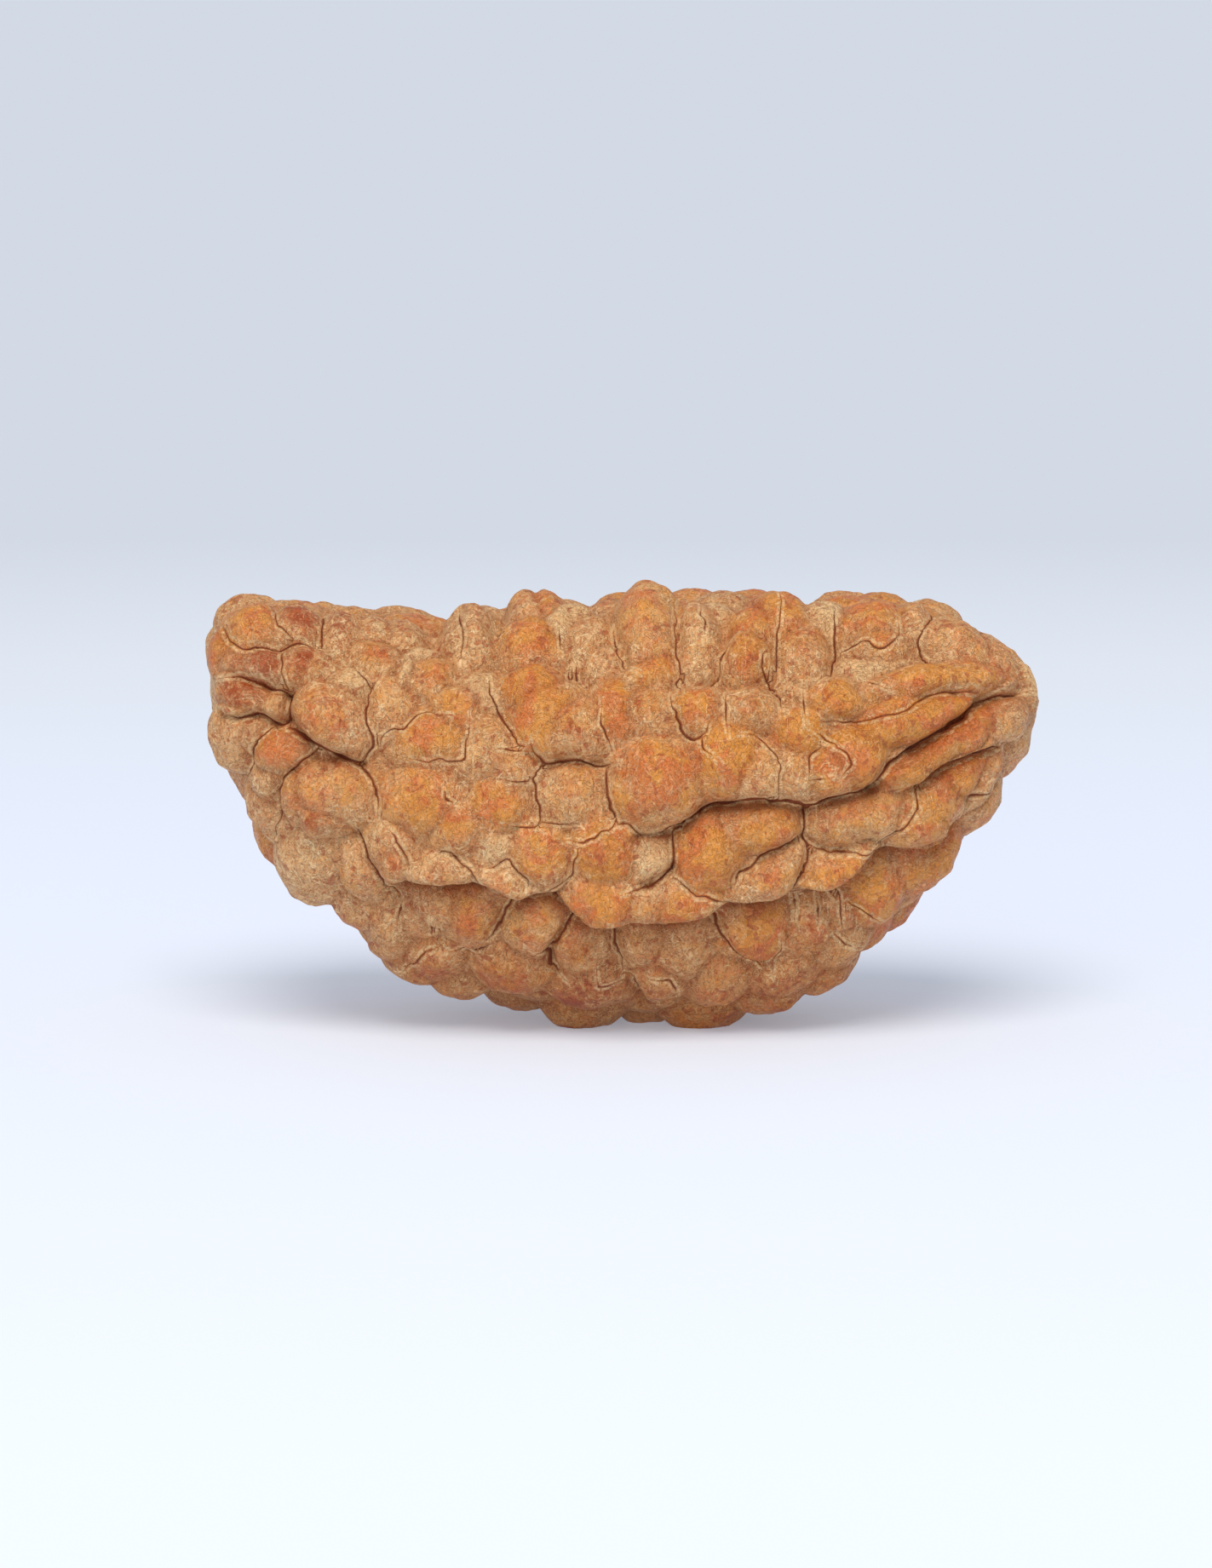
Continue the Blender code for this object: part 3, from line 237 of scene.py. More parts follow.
# Cracks in the dried skin: how deep, how wide the groove, how wide its dark line either side, and the places
# across and up that each passes
CRACKS = {
    "gaping": (0.18, 0.08, 0.058, [
        [(1.2, 6.55), (2.0, 6.8), (2.9, 7.38), (3.5, 7.53), (4.2, 7.62), (5.0, 7.66), (5.6, 7.6),
         (6.1, 7.5), (6.5, 7.56), (7.2, 7.72), (7.9, 7.92), (8.4, 8.1)],
        [(-7.4, 4.62), (-6.7, 4.7), (-6.2, 4.58), (-5.5, 4.65), (-4.8, 4.76), (-4.4, 4.6), (-3.8, 4.2),
         (-3.5, 4.13), (-2.9, 4.3), (-2.4, 4.25), (-2.1, 4.05), (-1.6, 3.65)],
        [(3.1, 3.75), (3.6, 3.98), (4.6, 4.0), (5.2, 4.12), (5.7, 4.4), (6.3, 4.48)],
        [(-11.15, 10.1), (-10.8, 9.85), (-10.3, 9.52), (-9.8, 9.28), (-9.4, 9.05), (-9.0, 8.9),
         (-8.72, 8.88)],
        [(8.4, 8.15), (8.6, 8.5), (8.95, 8.92), (9.4, 9.22), (9.95, 9.52), (10.5, 9.88), (11.1, 10.22),
         (11.7, 10.6), (12.05, 10.95)],
        [(9.9, 8.07), (10.3, 8.3), (10.9, 8.73), (11.4, 8.97), (12.0, 9.13), (12.6, 9.26)],
        [(-2.75, 2.3), (-2.58, 2.1), (-2.5, 1.8), (-2.42, 1.55)],
    ]),
    "open": (0.10, 0.06, 0.036, [
        [(-13.4, 10.6), (-13.2, 10.4), (-12.95, 10.36), (-12.7, 10.46), (-12.3, 10.55), (-12.0, 10.42),
         (-11.85, 10.22), (-11.6, 10.18), (-11.35, 10.35), (-11.2, 10.8), (-11.15, 11.35)],
        [(-13.0, 11.85), (-12.6, 11.8), (-12.2, 11.7), (-11.8, 11.5), (-11.4, 11.48), (-11.15, 11.35)],
        [(-10.0, 14.15), (-9.97, 13.6), (-10.05, 12.9)],
        [(-10.3, 9.35), (-10.5, 9.13), (-10.8, 8.9), (-11.1, 8.6), (-11.42, 8.35), (-11.5, 8.1),
         (-11.65, 7.8), (-11.7, 7.4), (-11.72, 6.9), (-11.8, 6.45)],
        [(-8.95, 8.82), (-8.6, 8.5), (-8.42, 8.2), (-8.3, 7.8), (-8.2, 7.4)],
        [(-8.72, 8.9), (-8.58, 9.25), (-8.4, 9.5), (-8.33, 9.75), (-8.45, 10.0), (-8.58, 10.3),
         (-8.58, 10.6), (-8.45, 11.0), (-8.35, 11.45)],
        [(-4.4, 11.7), (-4.4, 11.2), (-4.25, 10.95), (-4.1, 10.6), (-3.9, 10.3), (-3.7, 10.0),
         (-3.45, 9.45)],
        [(-3.0, 9.35), (-2.8, 9.1), (-2.62, 8.93), (-2.3, 8.95), (-1.9, 9.02), (-1.3, 8.97),
         (-0.9, 8.83), (-0.55, 8.8)],
        [(-9.1, 6.3), (-8.8, 5.95), (-8.55, 5.45), (-8.3, 5.1), (-8.2, 4.7), (-8.1, 4.35)],
        [(6.1, 7.5), (6.13, 7.1), (6.1, 6.6), (6.1, 6.3), (6.25, 5.95), (6.25, 5.7), (6.15, 5.4),
         (6.0, 5.1), (5.8, 4.9), (5.75, 4.65)],
        [(5.9, 6.25), (5.5, 6.05), (5.1, 5.95), (4.8, 5.8), (4.5, 5.5), (4.2, 5.25), (3.95, 5.1),
         (3.9, 4.95)],
        [(1.65, 6.4), (1.72, 6.0), (1.65, 5.6), (1.68, 5.2), (1.4, 4.98), (1.2, 4.82), (0.9, 4.65),
         (0.5, 4.6)],
        [(-1.65, 3.5), (-1.85, 3.2), (-2.0, 2.9), (-2.2, 2.6), (-2.6, 2.28)],
        [(-3.75, 4.0), (-3.9, 3.7), (-4.1, 3.3), (-4.3, 2.95), (-4.45, 2.7)],
        [(-0.35, 3.3), (-0.3, 2.8), (-0.27, 2.4), (-0.1, 2.0), (0.05, 1.7)],
        [(3.1, 3.7), (3.12, 3.3), (3.25, 2.95), (3.5, 2.6), (3.8, 2.25), (4.1, 1.98)],
        [(1.7, 10.9), (1.75, 10.6), (1.85, 10.3), (2.05, 9.85), (2.3, 9.7), (2.55, 9.7), (2.8, 9.85)],
        [(-0.75, 10.3), (-0.6, 9.95), (-0.43, 9.6)],
        [(7.1, 13.9), (7.05, 13.3), (7.05, 12.8), (7.0, 12.3), (6.93, 12.0)],
        [(10.0, 13.4), (9.85, 13.12), (10.0, 12.85), (10.2, 12.6), (10.45, 12.42), (10.65, 12.4)],
        [(12.1, 11.12), (12.5, 11.25), (13.0, 11.35), (13.2, 11.4)],
        [(-2.65, 8.9), (-2.9, 8.5), (-2.95, 8.3), (-2.9, 7.9), (-2.8, 7.5), (-2.72, 7.15), (-2.68, 6.9)],
        [(-0.5, 8.7), (-0.52, 8.2), (-0.5, 7.8), (-0.4, 7.4), (-0.25, 7.05), (-0.15, 6.85)],
        [(0.45, 1.15), (0.5, 0.95), (0.65, 0.72)],
        [(1.85, 13.3), (1.83, 13.1), (1.84, 12.9)], [(-1.55, 12.25), (-1.56, 12.0)],
        [(-1.78, 12.15), (-1.74, 12.0)],
        [(3.38, 12.75), (3.32, 12.5)], [(-4.02, 13.3), (-4.2, 13.4)],
        [(11.5, 7.62), (11.8, 7.8), (12.1, 7.93)],
        [(-5.85, 7.78), (-5.83, 7.62)], [(-2.0, 13.1), (-2.02, 13.0)], [(8.36, 11.6), (8.44, 11.5)],
        [(-6.4, 3.15), (-6.4, 3.05)], [(-6.15, 3.05), (-6.13, 2.95)], [(-7.5, 3.72), (-7.5, 3.58)],
        [(5.8, 3.92), (5.8, 3.8)], [(6.6, 3.8), (6.6, 3.7)], [(2.05, 12.0), (2.05, 11.9)],
    ]),
    "fine": (0.045, 0.05, 0.022, [
        [(5.28, 14.0), (5.22, 13.5), (5.15, 12.9), (5.2, 12.3), (5.15, 11.9)],
        [(-11.6, 14.0), (-11.5, 13.5), (-11.3, 13.3), (-11.0, 12.95)],
        [(-13.3, 13.6), (-13.2, 13.2), (-12.9, 12.95), (-12.6, 12.75), (-12.2, 12.78), (-11.3, 12.8),
         (-10.7, 12.9), (-10.05, 12.8)],
        [(-11.35, 12.5), (-11.3, 12.2), (-11.25, 11.7), (-11.15, 11.4)],
        [(-8.35, 11.45), (-8.6, 11.75), (-8.85, 11.9)],
        [(-11.8, 10.1), (-12.2, 9.75), (-12.42, 9.4), (-12.5, 9.0), (-12.6, 8.6), (-12.85, 8.2)],
        [(-8.2, 9.72), (-8.0, 9.93), (-7.7, 10.05), (-7.3, 10.03), (-7.1, 10.3), (-6.8, 10.52),
         (-6.4, 10.62), (-6.15, 10.48)],
        [(-6.9, 8.93), (-6.4, 8.95), (-6.1, 9.05), (-5.8, 8.92), (-5.3, 8.95), (-5.22, 9.3), (-5.15, 9.9)],
        [(-5.4, 13.7), (-5.35, 13.2), (-5.3, 12.7)],
        [(-3.9, 9.3), (-3.5, 9.3)], [(-3.7, 8.22), (-3.1, 8.25)],
        [(-2.68, 6.9), (-2.3, 6.85), (-2.0, 6.8), (-1.7, 6.75)],
        [(-2.68, 6.88), (-3.0, 6.65), (-3.5, 6.7)],
        [(-0.35, 13.5), (-0.28, 13.2), (-0.2, 12.9), (-0.05, 12.5), (0.05, 12.2)],
        [(1.78, 14.0), (1.82, 13.5), (1.85, 12.6), (1.9, 12.1), (1.85, 11.7), (1.9, 11.3)],
        [(2.65, 13.8), (2.68, 13.45), (2.7, 13.2)],
        [(3.3, 12.5), (3.27, 12.1), (3.1, 11.9), (2.7, 11.45)],
        [(4.7, 12.5), (4.65, 12.2), (4.72, 11.9), (4.9, 11.7), (5.05, 11.5)],
        [(5.05, 12.0), (5.1, 11.6), (5.25, 11.3), (5.3, 11.0)],
        [(3.4, 11.0), (3.45, 10.6), (3.5, 10.2)], [(2.6, 9.6), (2.7, 9.4), (2.72, 9.2)],
        [(4.3, 9.85), (4.6, 9.65), (4.9, 9.35), (5.2, 9.05), (5.25, 8.7), (5.2, 8.3), (5.15, 7.9)],
        [(-0.15, 6.85), (0.1, 6.85), (0.4, 6.7), (0.6, 6.45)],
        [(-1.5, 6.2), (-1.1, 6.35), (-0.8, 6.5), (-0.5, 6.65), (-0.2, 6.78)],
        [(7.35, 13.0), (8.1, 12.95), (8.4, 12.75), (8.8, 12.75), (9.1, 13.0), (9.2, 13.3)],
        [(10.3, 14.0), (10.25, 13.7), (10.0, 13.4)],
        [(6.15, 8.75), (6.2, 9.05), (6.4, 9.25), (6.62, 9.3)],
        [(7.1, 9.35), (7.35, 9.2), (7.5, 9.0), (7.5, 8.75)],
        [(6.6, 9.8), (6.9, 9.55), (7.1, 9.5)], [(6.4, 8.3), (6.55, 8.45)],
        [(12.2, 8.1), (12.6, 8.5), (13.1, 9.0)],
        [(-7.6, 6.5), (-7.4, 6.1), (-7.1, 5.7)],
        [(-6.2, 5.85), (-5.9, 5.95), (-5.7, 5.85), (-5.4, 5.6), (-5.1, 5.4), (-4.9, 5.1), (-4.75, 4.9)],
        [(-7.2, 2.1), (-6.9, 2.2), (-6.7, 2.4), (-6.5, 2.45)], [(-4.6, 2.4), (-5.1, 2.33), (-5.5, 2.3)],
        [(-4.35, 5.4), (-4.0, 5.55), (-3.8, 5.65), (-3.65, 5.45), (-3.4, 5.2), (-3.1, 5.0)],
        [(-1.55, 5.9), (-1.6, 5.5), (-1.65, 5.1), (-1.9, 4.95), (-2.3, 4.7), (-2.5, 4.6)],
        [(1.2, 1.4), (1.5, 1.45), (1.7, 1.3), (1.8, 1.1)], [(-0.9, 1.25), (-0.4, 1.2)],
        [(6.35, 5.93), (6.7, 5.85), (7.1, 5.8), (7.5, 5.85), (8.0, 5.85), (8.4, 5.95), (8.6, 6.1)],
        [(9.85, 8.0), (9.8, 7.6), (9.7, 7.2), (9.5, 6.85), (9.3, 6.65), (9.0, 6.5), (8.75, 6.3),
         (8.65, 5.85)],
        [(1.8, 4.95), (2.1, 4.7), (2.4, 4.55), (2.9, 4.45), (3.3, 4.3), (3.4, 4.2)],
        [(4.1, 1.98), (4.5, 1.85)], [(5.4, 2.5), (5.2, 2.3), (5.05, 2.1)],
        [(7.05, 4.55), (7.15, 4.25), (7.25, 4.0)],
        [(7.25, 4.5), (7.4, 4.0), (7.45, 3.3)], [(7.8, 4.0), (8.1, 3.85), (8.4, 3.65)],
        [(7.3, 2.85), (7.5, 2.7)],
        [(6.8, 10.25), (7.4, 10.3), (8.0, 10.3), (8.6, 10.4), (9.1, 10.5), (9.6, 10.75), (10.1, 11.1),
         (10.6, 11.25), (11.2, 11.35), (11.8, 11.35)],
        [(6.05, 11.0), (6.0, 10.6)], [(-8.1, 4.35), (-7.8, 4.15)],
        [(0.6, 3.4), (0.9, 3.3), (1.5, 3.28), (2.2, 3.45)],
    ]),
}
CRACK_STEP = 0.05
CRACK_SMOOTHINGS = 4
CRACK_WOBBLE = 0.03
# Points further than CRACK_MARGIN from a crack's box are left out, and CRACK_FAR stands for "no crack near"
CRACK_MARGIN, CRACK_FAR = 0.6, 0.40
# A crack's dark line fades out at this distance from the crack, over this width
CRACK_EDGE, CRACK_FADE = 0.165, 0.035
# Cracks narrow to this share at their ends, and reach full width at one part in TAPER_PACE of their length
TAPER_START, TAPER_PACE = 0.3, 3.5
# Painted shade beside each crack: how far it reaches, and the width of dark line at which it is full
CRACK_SHADE_REACH, CRACK_SHADE_LINE = 0.17, 0.075

# Cushions that the face doesn't show are scattered by a seeded rule
HIDDEN_SEED = 7
HIDDEN_TRIES = 4000
HIDDEN_SPACING = 1.7
HIDDEN_SIZE = (0.85, 1.45)
HIDDEN_HEIGHT = (0.6, 1.0)
HIDDEN_EDGE = -0.35
HIDDEN_TONES = ("orange", "tan", "brown", "orange", "light", "bright", "pink", "tan")
# Low down on the front they are worn: lower by WORN_HEIGHT and broader by WORN_SIZE at the most
WORN_HEIGHT, WORN_SIZE = 0.5, 0.55
# The back carries the thinner cracks of the face, turned over
BACK_CRACK_GROUPS = ("open", "fine")

# How cushions meet: DOME_DROP is the fall from crown to edge of a cushion of half size 1, a higher
# SHARPNESS gives a sharper valley, and VALLEY is the height of the body between them. A crease of
# CREASE_DEPTH runs where two cushions are level with each other.
DOME_DROP = 0.55
SHARPNESS = 9.0
CREASE_DEPTH, CREASE_WIDTH = 0.10, 0.08
VALLEY = -0.15
REST_CUT = 0.25
# Painted shade along a crease fades as the two highest cushions part, over CREASE_SHADE
CREASE_SHADE = 0.16
VALLEY_TONE, TONE_FADE = 0.3, 0.9
DOME_DEPTH = 2.5
WARP = 0.10
WRINKLE = 0.035
RIPPLE_WAVES = 16

# The floor's tone at distances behind the seed, in metres: painted shade darkens it behind
FLOOR_SHADE_TONES = [(-0.06, "#D8E0E8"), (0.03, "#CCD4E6"), (0.08, "#C4CCD8"), (0.12, "#B8C0CC")]

# Each tone of a cushion's crown: how orange, how red-brown, how pale
TONES = {
    "bright": (1.0, 0.05, 0.0), "orange": (0.72, 0.2, 0.05), "ochre": (0.8, 0.0, 0.1),
    "tan": (0.35, 0.15, 0.3), "white": (0.0, 0.0, 3.0), "light": (0.55, 0.0, 0.8),
    "deep": (1.0, 0.65, 0.0), "brown": (0.5, 0.6, 0.0), "red": (0.4, 1.1, 0.0),
    "dark": (0.2, 2.2, 0.0), "pink": (0.15, 0.6, 0.4), "pale": (0.0, 0.05, 1.25),
    "moss": (0.05, 0.1, 0.3),
}

# The stone's colours. Those of the creases, of the band beside the cracks, of the brinks' undersides and of
# the low part are painted shade
STONE = {
    "skin": "#C27C42", "bright skin": "#E0A264", "grain": "#EDB97E", "pale skin": "#E8B87E",
    "orange": "#D86E24", "gold": "#E08E2C", "red": "#AA4A1A", "light streak": "#F3CC96",
    "dark streak": "#A9541F", "strand": "#F7D8A6", "vein": "#A0562C", "spot": "#B0522A",
    "crease": "#A8541E", "crack_shade": "#A84E18", "shade under brink": "#A04A18", "crack rim": "#F4CE98",
    "crack": "#8C3E14", "low shade": "#E6D2BA",
}
# Noise in the skin: patches to the millimetre, detail, roughness and bend
PATTERNS = {
    "broad": (0.7, 3.0, 0.5, 0.0), "cloud": (1.1, 2.0, 0.5, 0.8), "patch": (2.0, 3.0, 0.62, 0.5),
    "fleck": (4.6, 3.0, 0.6, 0.6), "grain": (11.0, 3.0, 0.65, 0.0), "spot": (3.3, 1.0, 0.4, 0.2),
}
STREAK = (4.5, 3.0, 0.65, 0.8)
STREAK_SQUEEZE = (1.0, 1.0, 0.35)
# Fibres of dried pulp: lines to the millimetre, bend, width and strength
STRANDS = ((1.5, 1.2, 0.026, 1.0), (3.6, 1.5, 0.040, 0.8), (7.5, 1.0, 0.07, 0.45))
VEIN = (2.7, 1.8, 0.025)
# The skin is darkened with painted shade up to this height over the floor, in millimetres
LOW_SHADE_TOP = 6.0
BUMP_HEIGHT = 0.00008

FLOOR_GLOW = 0.33
FLOOR_HALF = 4.0
SKY, SKY_STRENGTH = "#F5F9FF", 0.48
LAMP_COLOUR = "#FFF7EC"
# Lamps: name, the direction they shine from, spread in degrees, strength
LAMPS = (
    ("overhead_softbox", (-0.05, -0.62, 1.0), 34, 2.00),
    ("front_softbox", (-0.5, -1.3, 0.75), 45, 0.30),
)


def smooth_line(points, at):
    """A cubic curve through pairs of place and value, read at the ring angles given."""
    x, value = np.array(points, float).T
    ring = ring_angle(x)
    slope = np.gradient(value, ring)
    i = np.clip(np.searchsorted(ring, at) - 1, 0, len(ring) - 2)
    step = ring[i + 1] - ring[i]
    t = (at - ring[i]) / step
    return (
        value[i] * (1 + 2 * t) * (1 - t) ** 2
        + slope[i] * step * t * (1 - t) ** 2
        + value[i + 1] * t * t * (3 - 2 * t)
        - slope[i + 1] * step * t * t * (1 - t)
    )


def ring_angle(x):
    """The angle, from 0 at the blunt end to pi at the stalk end, of the ring at place x."""
    share = (np.asarray(x, float) - X_BLUNT) / (X_STALK - X_BLUNT)
    return np.arccos(np.clip(1 - 2 * share, -1, 1))


def body(ring, turn):
    """Points of the smooth half-moon. turn goes round from the keel (0) by the face (90 degrees) and the
    deck (180) to the back (270). Each section is a superellipse, squarer on the deck side."""
    x = X_BLUNT + (X_STALK - X_BLUNT) * (1 - np.cos(ring)) / 2
    keel = smooth_line(KEEL, ring)
    deck = smooth_line(DECK, ring)
    half_depth = smooth_line(HALF_DEPTH, ring)
    power = np.where(np.cos(turn) > 0, KEEL_POWER, DECK_POWER)
    rise = -np.sign(np.cos(turn)) * np.abs(np.cos(turn)) ** (2 / power)
    out = -np.sign(np.sin(turn)) * np.abs(np.sin(turn)) ** (2 / power)
    z = (keel + deck) / 2 + rise * (deck - keel) / 2
    y = out * half_depth + CREST_LEAN * np.clip(rise, 0, 1) ** 2 * np.sin(ring)
    return np.stack([x, y, z], axis=-1)


def body_normals(ring, turn):
    """Outward normals of the body, from its slopes a small step each way."""
    step = 0.004
    safe = np.clip(ring, 2 * step, np.pi - 2 * step)
    along = body(safe + step, turn) - body(safe - step, turn)
    round_ = body(safe, turn + step) - body(safe, turn - step)
    normal = np.cross(along, round_)
    return normal / np.linalg.norm(normal, axis=-1, keepdims=True)


def view_axes():
    """The directions across, up and away of the view of the face."""
    tilt = np.radians(VIEW_TILT)
    across = np.array([1.0, 0.0, 0.0])
    up = np.array([0.0, np.sin(tilt), np.cos(tilt)])
    away = np.array([0.0, np.cos(tilt), -np.sin(tilt)])
    return across, up, away


def seen(points):
    """Where points show in the view of the face: across and up."""
    across, up, away = view_axes()
    centre = VIEW_CENTRE[0] * across + VIEW_CENTRE[1] * up
    from_eye = points - (centre - VIEW_DISTANCE * away)
    nearness = VIEW_DISTANCE / (from_eye @ away)
    shown_across = VIEW_CENTRE[0] + (from_eye @ across) * nearness
    shown_up = VIEW_CENTRE[1] + (from_eye @ up) * nearness
    return np.stack([shown_across, shown_up], axis=-1)


def side_net(facing):
    """A close net of body points on one side, with their normals and the places where they show once the mean
    relief is on. facing is -1 for the face, which looks at the viewer, and 1 for the back."""
    rings, turns = np.linspace(0.02, np.pi - 0.02, 320), np.linspace(0, 2 * np.pi, 400)
    ring, turn = np.meshgrid(rings, turns, indexing="ij")
    ring, turn = ring.ravel(), turn.ravel()
    points = body(ring, turn)
    normals = body_normals(ring, turn)
    chosen = facing * (normals @ view_axes()[2]) > -0.02
    points, normals = points[chosen], normals[chosen]
    return points, normals, seen(points + MEAN_RELIEF * normals)


def underside_net():
    """A close net of body points that face down, with their normals and their places seen from below."""
    ring, turn = np.meshgrid(np.linspace(0.5, 2.6, 200), np.linspace(-1.2, 1.2, 120), indexing="ij")
    ring, turn = ring.ravel(), turn.ravel()
    points = body(ring, turn)
    return points, body_normals(ring, turn), points[:, :2]


def on_side(places, net):
    """The body point under each place (across, up) of the side that the net covers, and its normal."""
    points, normals, shown = net
    gap = ((np.asarray(places, float)[:, None, :] - shown[None]) ** 2).sum(axis=-1)
    nearest = gap.argmin(axis=1)
    return points[nearest], normals[nearest]


def flowing(places, step):
    """The places of a line, with more between them on a smooth curve (Catmull-Rom), about a step apart."""
    p = np.asarray(places, float)
    p = np.vstack([2 * p[0] - p[1], p, 2 * p[-1] - p[-2]])
    out = []
    for a, b, c, d in zip(p[:-3], p[1:-2], p[2:-1], p[3:]):
        t = np.linspace(0, 1, max(2, int(np.ceil(np.linalg.norm(c - b) / step)) + 1))[:-1, None]
        out.append(
            0.5 * (2 * b + (c - a) * t + (2 * a - 5 * b + 4 * c - d) * t**2 + (3 * b - a - 3 * c + d) * t**3)
        )
    return np.vstack(out + [p[-2:-1]])


def ripple(points, wavelength, seed):
    """A smooth uneven field, mostly between -1 and 1: plane waves in seeded directions, all near one
    wavelength."""
    draw = np.random.default_rng(seed)
    direction = draw.normal(size=(RIPPLE_WAVES, 3))
    direction /= np.linalg.norm(direction, axis=1, keepdims=True)
    pace = 2 * np.pi / (wavelength * draw.uniform(0.7, 1.4, RIPPLE_WAVES))
    start = draw.uniform(0, 2 * np.pi, RIPPLE_WAVES)
    return np.sin(points @ (direction * pace[:, None]).T + start).sum(axis=1) / 5


def cushion_frames(normals):
    """Two directions in the surface at each normal: one mostly along the seed, one mostly up or down."""
    first = np.array([1.0, 0.0, 0.0]) - normals[:, :1] * normals
    first /= np.linalg.norm(first, axis=1, keepdims=True)
    return first, np.cross(normals, first)


def placed_cushions(listed, net, up):
    """Listed cushions on the side that the net covers. Their read sizes are stretched by how much the surface
    slants there, seen with X to the right and the given direction up."""
    centres, normals = on_side([row[:2] for row in listed], net)
    first, second = cushion_frames(normals)
    stretch_first = 1 / np.clip(np.abs(first[:, 0]), 0.5, 1)
    stretch_second = 1 / np.clip(np.abs(second @ up), 0.5, 1)
    return [
        (centre, normal, row[2] * wide, row[3] * high, row[4], row[5], row[6])
        for centre, normal, row, wide, high in zip(centres, normals, listed, stretch_first, stretch_second)
    ]


def hidden_cushions(taken):
    """Cushions where the face's own ones leave room: seeded tries, kept when no other is too near. They get
    lower towards the face, and worn where they face down on the front."""
    draw = np.random.default_rng(HIDDEN_SEED)
    ring = np.arccos(draw.uniform(-0.97, 0.97, HIDDEN_TRIES))
    turn = draw.uniform(0, 2 * np.pi, HIDDEN_TRIES)
    tries = body(ring, turn)
    normals = body_normals(ring, turn)
    facing_away = normals @ view_axes()[2]
    sizes = draw.uniform(*HIDDEN_SIZE, (HIDDEN_TRIES, 2))
    turns = draw.uniform(0, 180, HIDDEN_TRIES)
    heights = draw.uniform(*HIDDEN_HEIGHT, HIDDEN_TRIES) * np.clip(0.5 + 0.8 * facing_away, 0, 1)
    worn = np.clip(-2 * normals[:, 2] - 0.9, 0, 1) * np.clip(1 - 2.5 * facing_away, 0, 1)
    heights *= 1 - WORN_HEIGHT * worn
    sizes *= 1 + WORN_SIZE * worn[:, None]
    kept = list(taken)
    rows = []
    for i in np.flatnonzero(facing_away > HIDDEN_EDGE):
        if min(np.linalg.norm(tries[i] - k) for k in kept) > HIDDEN_SPACING:
            kept.append(tries[i])
            tone = HIDDEN_TONES[len(rows) % len(HIDDEN_TONES)]
            rows.append((tries[i], normals[i], sizes[i, 0], sizes[i, 1], turns[i], heights[i], tone))
    return rows


def cushion_field(points, rows):
    """Height of the cushions over the body, with their tones and the painted shade along their creases. Each
    cushion is a dome: its height less a drop that grows as the square of the distance from its centre over
    its size. The domes join by a soft maximum, and a crease is cut where the highest two are level."""
    total = np.full(len(points), np.exp(SHARPNESS * VALLEY))
    highest = np.full(len(points), VALLEY)
    second_highest = np.full(len(points), VALLEY - 1.0)
    weight = total * VALLEY_TONE
    tone = np.outer(weight, TONES["pale"])
    first, second = cushion_frames(np.array([row[1] for row in rows]))
    for (centre, normal, length, width, turn, height, name), along, side in zip(rows, first, second):
        cos, sin = np.cos(np.radians(turn)), np.sin(np.radians(turn))
        offset = points - centre
        a, b, deep = offset @ along, offset @ side, offset @ normal
        far = ((a * cos + b * sin) / length) ** 2 + ((b * cos - a * sin) / width) ** 2
        far += (deep / (DOME_DEPTH * min(length, width))) ** 2
        drop = DOME_DROP * np.sqrt(length * width) * (0.3 + 0.7 * height)
        dome = np.clip(height - drop * far, -3, None)
        share = np.exp(SHARPNESS * dome)
        total += share
        weight += share
        tone += (share * np.exp(-TONE_FADE * far))[:, None] * TONES[name]
        second_highest = np.maximum(second_highest, np.minimum(highest, dome))
        highest = np.maximum(highest, dome)
    gap = highest - second_highest
    height = np.log(total) / SHARPNESS - CREASE_DEPTH * np.exp(-gap / CREASE_WIDTH)
    return height, tone / weight[:, None], np.exp(-gap / CREASE_SHADE)


def furrow_field(points, furrows, net):
    """What the furrows take off, how far the brink over them hangs down, and how much painted shade each
    point gets under a brink. The side above gets a lip and the side below loses it. The lip fades with
    distance, and swings round the furrow's ends."""
    up = view_axes()[1]
    change = np.zeros(len(points))
    droop = np.zeros(len(points))
    under = np.zeros(len(points))
    for depth, lip, places in furrows.values():
        line, _ = on_side(flowing(places, FURROW_STEP), net)
        nearest = np.full(len(points), np.inf)
        above = np.zeros(len(points))
        for start, end in zip(line[:-1], line[1:]):
            run = end - start
            t = np.clip((points - start) @ run / max(run @ run, 1e-9), 0, 1)
            offset = points - (start + t[:, None] * run)
            distance = np.linalg.norm(offset, axis=1)
            closer = distance < nearest
            nearest[closer] = distance[closer]
            above[closer] = (offset @ up)[closer]
        side = above / np.sqrt(nearest**2 + FURROW_WIDTH**2)
        change += lip * side * np.exp(-nearest / LIP_REACH) - depth * np.exp(-((nearest / FURROW_WIDTH) ** 2))
        droop = np.maximum(droop, DROOP * lip * np.clip(side, 0, 1) * np.exp(-nearest / DROOP_REACH))
        shade = lip / UNDER_LIP * np.clip(UNDER_SIDE - side, 0, 1)
        under = np.maximum(under, shade * np.exp(-((nearest / UNDER_REACH) ** 2)))
    return change, droop, under


